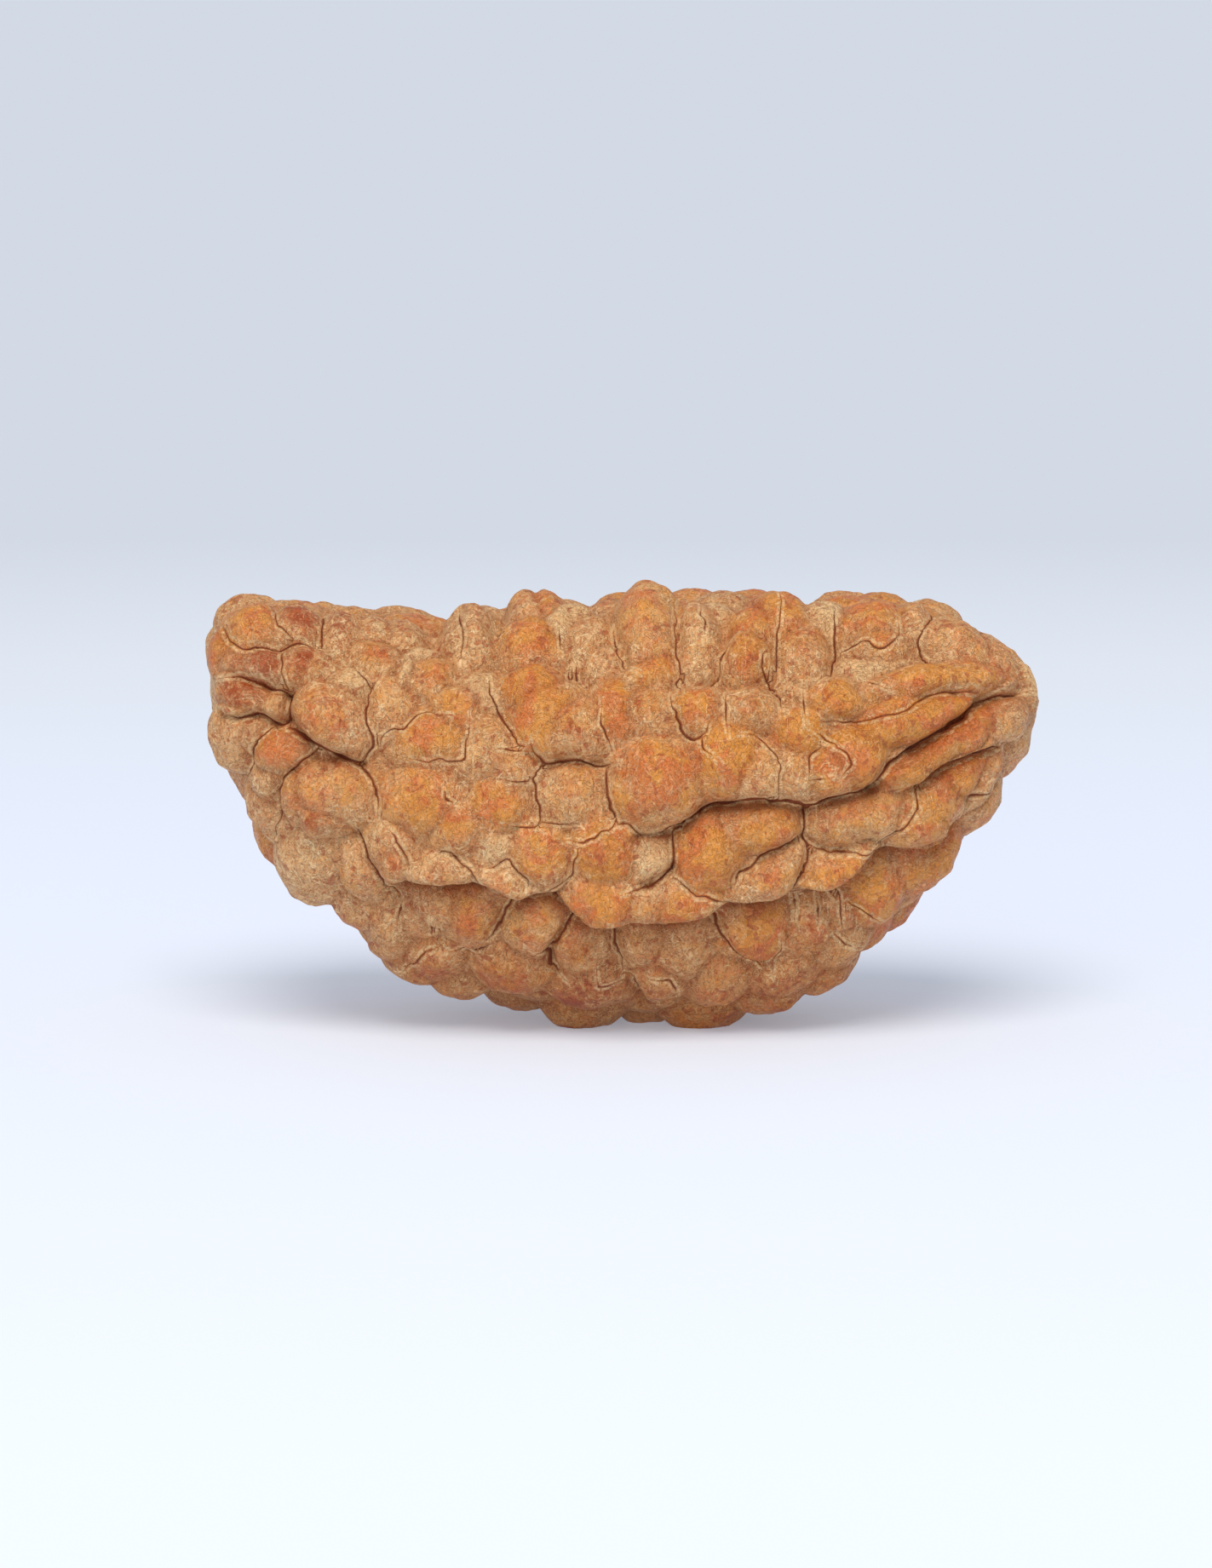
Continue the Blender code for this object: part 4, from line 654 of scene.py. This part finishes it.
def crack_field(points, normals, face, back):
    """The cracks: what they take off, how far each point is to one side of the nearest crack, how far that
    crack's dark line reaches (below 0 away from cracks), and how much painted shade a point gets beside a
    crack."""
    depth_here = np.zeros(len(points))
    side_here = np.full(len(points), CRACK_FAR)
    reach_here = np.full(len(points), -CRACK_FAR)
    crack_shade_here = np.zeros(len(points))
    nearest_here = np.full(len(points), np.inf)
    wobble = np.stack([ripple(points, 0.8, seed) for seed in (21, 22, 23)], axis=1)
    uneven = 1 + 0.3 * ripple(points, 0.7, 24)
    moved = points + CRACK_WOBBLE * wobble
    jobs = [(line, face, *group[:3]) for group in CRACKS.values() for line in group[3]]
    for group in (CRACKS[name] for name in BACK_CRACK_GROUPS):
        jobs += [([(-x, up) for x, up in line], back, *group[:3]) for line in group[3]]
    for places, net, depth, width, reach in jobs:
        line, _ = on_side(flowing(places, CRACK_STEP), net)
        for _ in range(CRACK_SMOOTHINGS):
            line[1:-1] = (line[:-2] + 2 * line[1:-1] + line[2:]) / 4
        run = np.gradient(line, axis=0)
        low, high = line.min(axis=0) - CRACK_MARGIN, line.max(axis=0) + CRACK_MARGIN
        near = np.flatnonzero(((moved > low) & (moved < high)).all(axis=1))
        offset = moved[near, None, :] - line[None]
        gaps = np.linalg.norm(offset, axis=2)
        at = gaps.argmin(axis=1)
        nearest = gaps.min(axis=1)
        across = np.cross(normals[near], run[at])
        across /= np.linalg.norm(across, axis=1, keepdims=True) + 1e-9
        side = (offset[np.arange(len(near)), at] * across).sum(axis=1)
        along = at / max(len(line) - 1, 1)
        taper = np.clip(TAPER_PACE * np.minimum(along, 1 - along) + TAPER_START, 0, 1)
        depth_here[near] = np.maximum(depth_here[near], depth * taper * np.exp(-((nearest / width) ** 2)))
        closer = nearest < nearest_here[near]
        chosen = near[closer]
        nearest_here[chosen] = nearest[closer]
        side_here[chosen] = side[closer]
        crack_shade = taper * reach / CRACK_SHADE_LINE * np.exp(-((nearest / CRACK_SHADE_REACH) ** 2))
        crack_shade_here[near] = np.maximum(crack_shade_here[near], crack_shade)
        fade = np.clip((CRACK_EDGE - nearest) / CRACK_FADE, -1, 1)
        reach_here[chosen] = (reach * uneven[near] * taper * fade)[closer]
    return depth_here, side_here, reach_here, crack_shade_here


def seed_surface(ring, turn):
    """The finished surface with its tones: the body, raised along its normals by cushions and furrows, cut by
    cracks, wrinkled, and hanging a little over the ledges."""
    points = body(ring, turn)
    normals = body_normals(ring, turn)
    face, back = side_net(-1), side_net(1)
    listed = placed_cushions([row for group in CUSHIONS.values() for row in group], face, view_axes()[1])
    listed += placed_cushions(UNDERSIDE, underside_net(), np.array([0.0, 1.0, 0.0]))
    rows = listed + hidden_cushions([row[0] for row in listed])
    warp = np.stack([ripple(points, 1.6, seed) for seed in (1, 2, 3)], axis=1)
    height, tone, crease = cushion_field(points + WARP * warp, rows)
    face_change, face_droop, face_brink_shade = furrow_field(points, FURROWS, face)
    back_change, back_droop, back_brink_shade = furrow_field(points, BACK_FURROWS, back)
    # Painted shade under the brinks, from the face's furrows and the back's
    under = np.maximum(face_brink_shade, back_brink_shade)
    crack_depth, crack_side, crack_reach, crack_shade = crack_field(points, normals, face, back)
    wrinkle = ripple(points, 0.75, 4) + 0.6 * ripple(points, 0.38, 5)
    height += face_change + back_change - crack_depth + WRINKLE * wrinkle
    points = points + height[:, None] * normals
    points -= (face_droop + back_droop)[:, None] * view_axes()[1]
    # Marks for the material: painted shade along the creases, beside the cracks and under the brinks, and
    # where the cracks' dark lines lie
    marks = {"crease": crease, "crack_shade": crack_shade, "under": under}
    marks |= {"crack_side": crack_side, "crack_reach": crack_reach}
    return points, tone, marks


def net_faces(rings, segments):
    """Faces of a net closed by one vertex at each end: the first end's vertex, the rings, the last end's."""
    first, last = 0, 1 + rings * segments
    row = np.arange(segments)
    after = (row + 1) % segments
    start = 1 + np.arange(rings - 1)[:, None] * segments
    quads = np.stack([start + row, start + after, start + segments + after, start + segments + row], axis=-1)
    top = last - segments
    ends = [(first, 1 + j, 1 + i) for i, j in zip(row, after)]
    ends += [(last, top + i, top + j) for i, j in zip(row, after)]
    return ends + quads.reshape(-1, 4).tolist()


def build_seed():
    """The seed's mesh, fitted to the box of the part that it stands for, with its tones as attributes."""
    t = np.linspace(0, 1, RINGS + 2)[1:-1]
    rings = 0.45 * np.pi * t + 0.55 * np.arccos(1 - 2 * t)
    face_turns = np.linspace(0, np.pi, FACE_SEGMENTS, endpoint=False)
    back_turns = np.linspace(np.pi, 2 * np.pi, BACK_SEGMENTS, endpoint=False)
    ring, turn = np.meshgrid(rings, np.concatenate([face_turns, back_turns]), indexing="ij")
    ring = np.concatenate([[0.0], ring.ravel(), [np.pi]])
    turn = np.concatenate([[0.0], turn.ravel(), [0.0]])
    points, tone, marks = seed_surface(ring, turn)
    box_low, box_high = (np.array(c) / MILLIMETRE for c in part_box("rudraksha_seed"))
    low, high = points.min(axis=0), points.max(axis=0)
    low[2] += REST_CUT
    points = box_low + (points - low) * (box_high - box_low) / (high - low)
    points[:, 2] = np.maximum(points[:, 2], box_low[2])
    mesh = bpy.data.meshes.new("stone")
    mesh.from_pydata((points * MILLIMETRE).tolist(), [], net_faces(RINGS, FACE_SEGMENTS + BACK_SEGMENTS))
    mesh.shade_smooth()
    fields = {"orange": tone[:, 0], "red": tone[:, 1], "pale": tone[:, 2], **marks}
    for name, values in fields.items():
        mesh.attributes.new(name, "FLOAT", "POINT").data.foreach_set("value", values.astype(np.float32))
    seed = bpy.data.objects.new("stone", mesh)
    bpy.context.scene.collection.objects.link(seed)
    return seed


def colour(code):
    """An sRGB hex colour as linear red, green, blue and full alpha."""
    values = [int(code[i : i + 2], 16) / 255 for i in (1, 3, 5)]
    return (*[v / 12.92 if v <= 0.04045 else ((v + 0.055) / 1.055) ** 2.4 for v in values], 1.0)


def add(tree, kind, inputs=None, **settings):
    """Adds a node. settings are its properties, and inputs gives sockets a value or another node's output."""
    node = tree.nodes.new(kind)
    for name, value in settings.items():
        setattr(node, name, value)
    for name, value in (inputs or {}).items():
        if isinstance(value, bpy.types.NodeSocket):
            tree.links.new(value, node.inputs[name])
        else:
            node.inputs[name].default_value = value
    return node


def maths(tree, operation, a, b=0.0, clamp=False):
    """One step of arithmetic between two values or outputs."""
    return add(tree, "ShaderNodeMath", {0: a, 1: b}, operation=operation, use_clamp=clamp).outputs[0]


def blend(tree, amount, a, b, kind="MIX"):
    """A mix of two colours by an amount."""
    return add(tree, "ShaderNodeMix", {0: amount, 6: a, 7: b}, data_type="RGBA", blend_type=kind).outputs[2]


def paint(tree, amount, under, name, kind="MIX"):
    """One of the stone's colours over another colour, by an amount."""
    return blend(tree, amount, under, colour(STONE[name]), kind)


def band(tree, value, low, high, to_low=0.0, to_high=1.0):
    """A value spread smoothly between two levels."""
    inputs = {"Value": value, 1: low, 2: high, 3: to_low, 4: to_high}
    return add(tree, "ShaderNodeMapRange", inputs, interpolation_type="SMOOTHSTEP").outputs[0]


def noise(tree, where, per_mm, detail=3.0, rough=0.5, bend=0.0):
    """Noise with a number of patches to the millimetre."""
    inputs = {"Vector": where, "Scale": per_mm, "Detail": detail, "Roughness": rough, "Distortion": bend}
    return add(tree, "ShaderNodeTexNoise", inputs).outputs[0]


def ridge(tree, where, per_mm, bend, width):
    """Thin winding lines: where noise crosses its middle value."""
    level = noise(tree, where, per_mm, 2.0, 0.5, bend)
    off_middle = maths(tree, "ABSOLUTE", maths(tree, "SUBTRACT", level, 0.5))
    return band(tree, off_middle, 0.0, width, 1.0, 0.0)


def swing(tree, level, amount):
    """Noise about its middle value, made as strong as amount."""
    return maths(tree, "MULTIPLY", maths(tree, "SUBTRACT", level, 0.5), amount)


def times(tree, a, b):
    """One value or output times another."""
    return maths(tree, "MULTIPLY", a, b)


def total(tree, *parts):
    """The sum of several outputs."""
    result = parts[0]
    for part in parts[1:]:
        result = maths(tree, "ADD", result, part)
    return result


def skin_tones(tree, field, pattern):
    """The skin's colour, pale in the valleys, orange on the crowns and red-brown in flecks. Also how orange
    it is, and how much of the rough skin is left that hands haven't rubbed smooth."""
    patch, fleck, broad = pattern["patch"], pattern["fleck"], pattern["broad"]
    skin = blend(tree, band(tree, patch, 0.36, 0.62), colour(STONE["skin"]), colour(STONE["bright skin"]))
    skin = paint(tree, band(tree, pattern["grain"], 0.36, 0.66, 0.0, 0.40), skin, "grain")
    pale_amount = total(tree, field["pale"], swing(tree, patch, 1.6), swing(tree, broad, 1.2))
    skin = paint(tree, band(tree, pale_amount, 0.05, 1.0, 0.0, 0.8), skin, "pale skin")

    orange = times(tree, field["orange"], 1.15)
    orange_amount = total(tree, orange, swing(tree, patch, 1.2), swing(tree, broad, 1.0))
    crown = band(tree, orange_amount, 0.0, 0.85)
    clouded = band(tree, pattern["cloud"], 0.40, 0.58)
    gold = blend(tree, clouded, colour(STONE["orange"]), colour(STONE["gold"]))
    skin = blend(tree, times(tree, crown, 0.92), skin, gold)
    red_amount = total(tree, field["red"], swing(tree, fleck, 1.7), swing(tree, patch, 1.9))
    skin = paint(tree, band(tree, red_amount, 0.25, 1.3, 0.0, 0.90), skin, "red")

    rubbed_red = band(tree, red_amount, 0.4, 1.6, 0.0, 0.5)
    rubbed = maths(tree, "ADD", times(tree, crown, 0.72), rubbed_red)
    rough_part = maths(tree, "SUBTRACT", 1.0, rubbed, clamp=True)
    return skin, orange_amount, rough_part


def add_fibres(tree, where, skin, rough_part):
    """Streaks, fibres of dried pulp and brown veins on the rough skin. Also where fibres and veins are."""
    long = add(tree, "ShaderNodeVectorMath", {0: where, 1: STREAK_SQUEEZE}, operation="MULTIPLY").outputs[0]
    streak = noise(tree, long, *STREAK)
    light_streak = times(tree, band(tree, streak, 0.53, 0.63, 0.0, 0.52), rough_part)
    skin = paint(tree, light_streak, skin, "light streak")
    dark_streak = times(tree, band(tree, streak, 0.46, 0.35, 0.0, 0.60), rough_part)
    skin = paint(tree, dark_streak, skin, "dark streak")
    layers = [times(tree, ridge(tree, where, *kind), strength) for *kind, strength in STRANDS]
    strands = layers[0]
    for layer in layers[1:]:
        strands = maths(tree, "MAXIMUM", strands, layer)
    skin = paint(tree, times(tree, times(tree, strands, 0.80), rough_part), skin, "strand")
    veins = ridge(tree, where, *VEIN)
    skin = paint(tree, times(tree, veins, times(tree, rough_part, 0.55)), skin, "vein")
    return skin, strands, veins


def add_cracks(tree, field, fleck, skin):
    """Painted shade beside the cracks, painted shade under the brinks, and each crack's dark line with a pale
    rim beside it. Also the dark line as a depth."""
    beside = maths(tree, "ABSOLUTE", field["crack_side"])
    over = maths(tree, "SUBTRACT", field["crack_reach"], beside)
    # Painted shade in a band beside each crack
    skin = paint(tree, times(tree, field["crack_shade"], 0.45), skin, "crack_shade")
    # Painted shade under the brinks of the furrows
    skin = paint(tree, times(tree, field["under"], 0.75), skin, "shade under brink")
    rim = times(tree, band(tree, over, -0.150, -0.090), band(tree, over, -0.015, -0.040))
    rim = times(tree, rim, band(tree, fleck, 0.40, 0.58, 0.05, 0.65))
    skin = paint(tree, rim, skin, "crack rim")
    line = band(tree, over, -0.010, 0.026)
    return paint(tree, line, skin, "crack"), line


def stone_material():
    """Dried rudraksha stone, brushed and lightly oiled: warm tan, orange on the crowns that hands have
    rubbed, red-brown freckles, pale fibres of dried pulp in the valleys, and dark cracks."""
    material = bpy.data.materials.new("dried_stone")
    material.use_nodes = True
    tree = material.node_tree
    shader = tree.nodes["Principled BSDF"]
    place = add(tree, "ShaderNodeTexCoord").outputs["Object"]
    to_millimetres = (1 / MILLIMETRE,) * 3
    where = add(tree, "ShaderNodeVectorMath", {0: place, 1: to_millimetres}, operation="MULTIPLY").outputs[0]
    field = {
        name: add(tree, "ShaderNodeAttribute", attribute_name=name).outputs["Fac"]
        for name in ("orange", "red", "pale", "crease", "crack_side", "crack_reach", "crack_shade", "under")
    }
    pattern = {name: noise(tree, where, *values) for name, values in PATTERNS.items()}

    skin, orange_amount, rough_part = skin_tones(tree, field, pattern)
    skin, strands, veins = add_fibres(tree, where, skin, rough_part)
    skin = paint(tree, band(tree, pattern["spot"], 0.63, 0.70, 0.0, 0.6), skin, "spot")
    # Painted shade along the creases between cushions
    skin = paint(tree, times(tree, field["crease"], 0.48), skin, "crease")
    # Painted shade: the skin darkens towards the floor, up to a set height
    height = add(tree, "ShaderNodeSeparateXYZ", {0: where}).outputs["Z"]
    low_shade = band(tree, height, 0.0, LOW_SHADE_TOP, 1.0, 0.0)
    skin = paint(tree, low_shade, skin, "low shade", "MULTIPLY")
    skin, line = add_cracks(tree, field, pattern["fleck"], skin)
    tree.links.new(skin, shader.inputs["Base Color"])

    roughness = band(tree, orange_amount, 0.2, 1.0, 0.55, 0.34)
    tree.links.new(roughness, shader.inputs["Roughness"])
    shader.inputs["Specular IOR Level"].default_value = 0.45
    roughened = (("grain", 0.35), ("fleck", 0.9), ("patch", 1.3))
    small = [swing(tree, pattern[name], amount) for name, amount in roughened]
    relief = total(tree, *small, times(tree, strands, 0.22))
    relief = maths(tree, "SUBTRACT", relief, times(tree, veins, 0.25))
    relief = maths(tree, "SUBTRACT", relief, times(tree, line, 0.8))
    bump = add(tree, "ShaderNodeBump", {"Height": relief, "Strength": 1.0, "Distance": BUMP_HEIGHT})
    tree.links.new(bump.outputs[0], shader.inputs["Normal"])
    return material


def floor_material():
    """A light table under matt film: it glows a little, and painted shade makes it lightest in front and fade
    to grey behind.
    """
    material = bpy.data.materials.new("light_table")
    material.use_nodes = True
    tree = material.node_tree
    shader = tree.nodes["Principled BSDF"]
    place = add(tree, "ShaderNodeTexCoord").outputs["Object"]
    behind = add(tree, "ShaderNodeSeparateXYZ", {0: place}).outputs["Y"]
    front, back = FLOOR_SHADE_TONES[0][0], FLOOR_SHADE_TONES[-1][0]
    at = add(tree, "ShaderNodeMapRange", {"Value": behind, 1: front, 2: back}).outputs[0]
    ramp = add(tree, "ShaderNodeValToRGB", {0: at})
    for i, (distance, code) in enumerate(FLOOR_SHADE_TONES):
        stops = ramp.color_ramp.elements
        stop = stops[i] if i < 2 else stops.new(1.0)
        stop.position = (distance - front) / (back - front)
        stop.color = colour(code)
    tree.links.new(ramp.outputs[0], shader.inputs["Base Color"])
    tree.links.new(ramp.outputs[0], shader.inputs["Emission Color"])
    shader.inputs["Emission Strength"].default_value = FLOOR_GLOW
    shader.inputs["Roughness"].default_value = 0.9
    shader.inputs["Specular IOR Level"].default_value = 0.1
    return material


def set_stage():
    """The floor, the light and the camera."""
    scene = bpy.context.scene
    plane = bpy.data.meshes.new("floor")
    corners = [(x * FLOOR_HALF, y * FLOOR_HALF, 0) for x, y in ((-1, -1), (1, -1), (1, 1), (-1, 1))]
    plane.from_pydata(corners, [], [(0, 1, 2, 3)])
    plane.materials.append(floor_material())
    floor = bpy.data.objects.new("floor", plane)
    scene.collection.objects.link(floor)

    world = bpy.data.worlds.new("studio")
    world.use_nodes = True
    world.node_tree.nodes["Background"].inputs[0].default_value = colour(SKY)
    world.node_tree.nodes["Background"].inputs[1].default_value = SKY_STRENGTH
    scene.world = world

    for name, place, spread, strength in LAMPS:
        light = bpy.data.lights.new(name, "SUN")
        light.angle = np.radians(spread)
        light.energy = strength
        light.color = colour(LAMP_COLOUR)[:3]
        lamp = bpy.data.objects.new(name, light)
        lamp.rotation_euler = Vector(place).to_track_quat("Z", "Y").to_euler()
        scene.collection.objects.link(lamp)
    scene.view_settings.view_transform = "Standard"

    across, up, away = (Vector(v) for v in view_axes())
    centre = (VIEW_CENTRE[0] * across + (VIEW_CENTRE[1] - SEED_DROP) * up) * MILLIMETRE
    lens = bpy.data.cameras.new("camera")
    lens.lens = LENS
    lens.sensor_width = SENSOR
    lens.clip_start = 0.01
    camera = bpy.data.objects.new("camera", lens)
    turned = Matrix((across, up, -away)).transposed().to_4x4()
    camera.matrix_world = Matrix.Translation(centre - VIEW_DISTANCE * MILLIMETRE * away) @ turned
    scene.collection.objects.link(camera)
    scene.camera = camera


set_stage()
stone = build_seed()
stone.data.materials.append(stone_material())
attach(stone, "root")
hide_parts("rudraksha_seed")
bpy.context.view_layer.update()
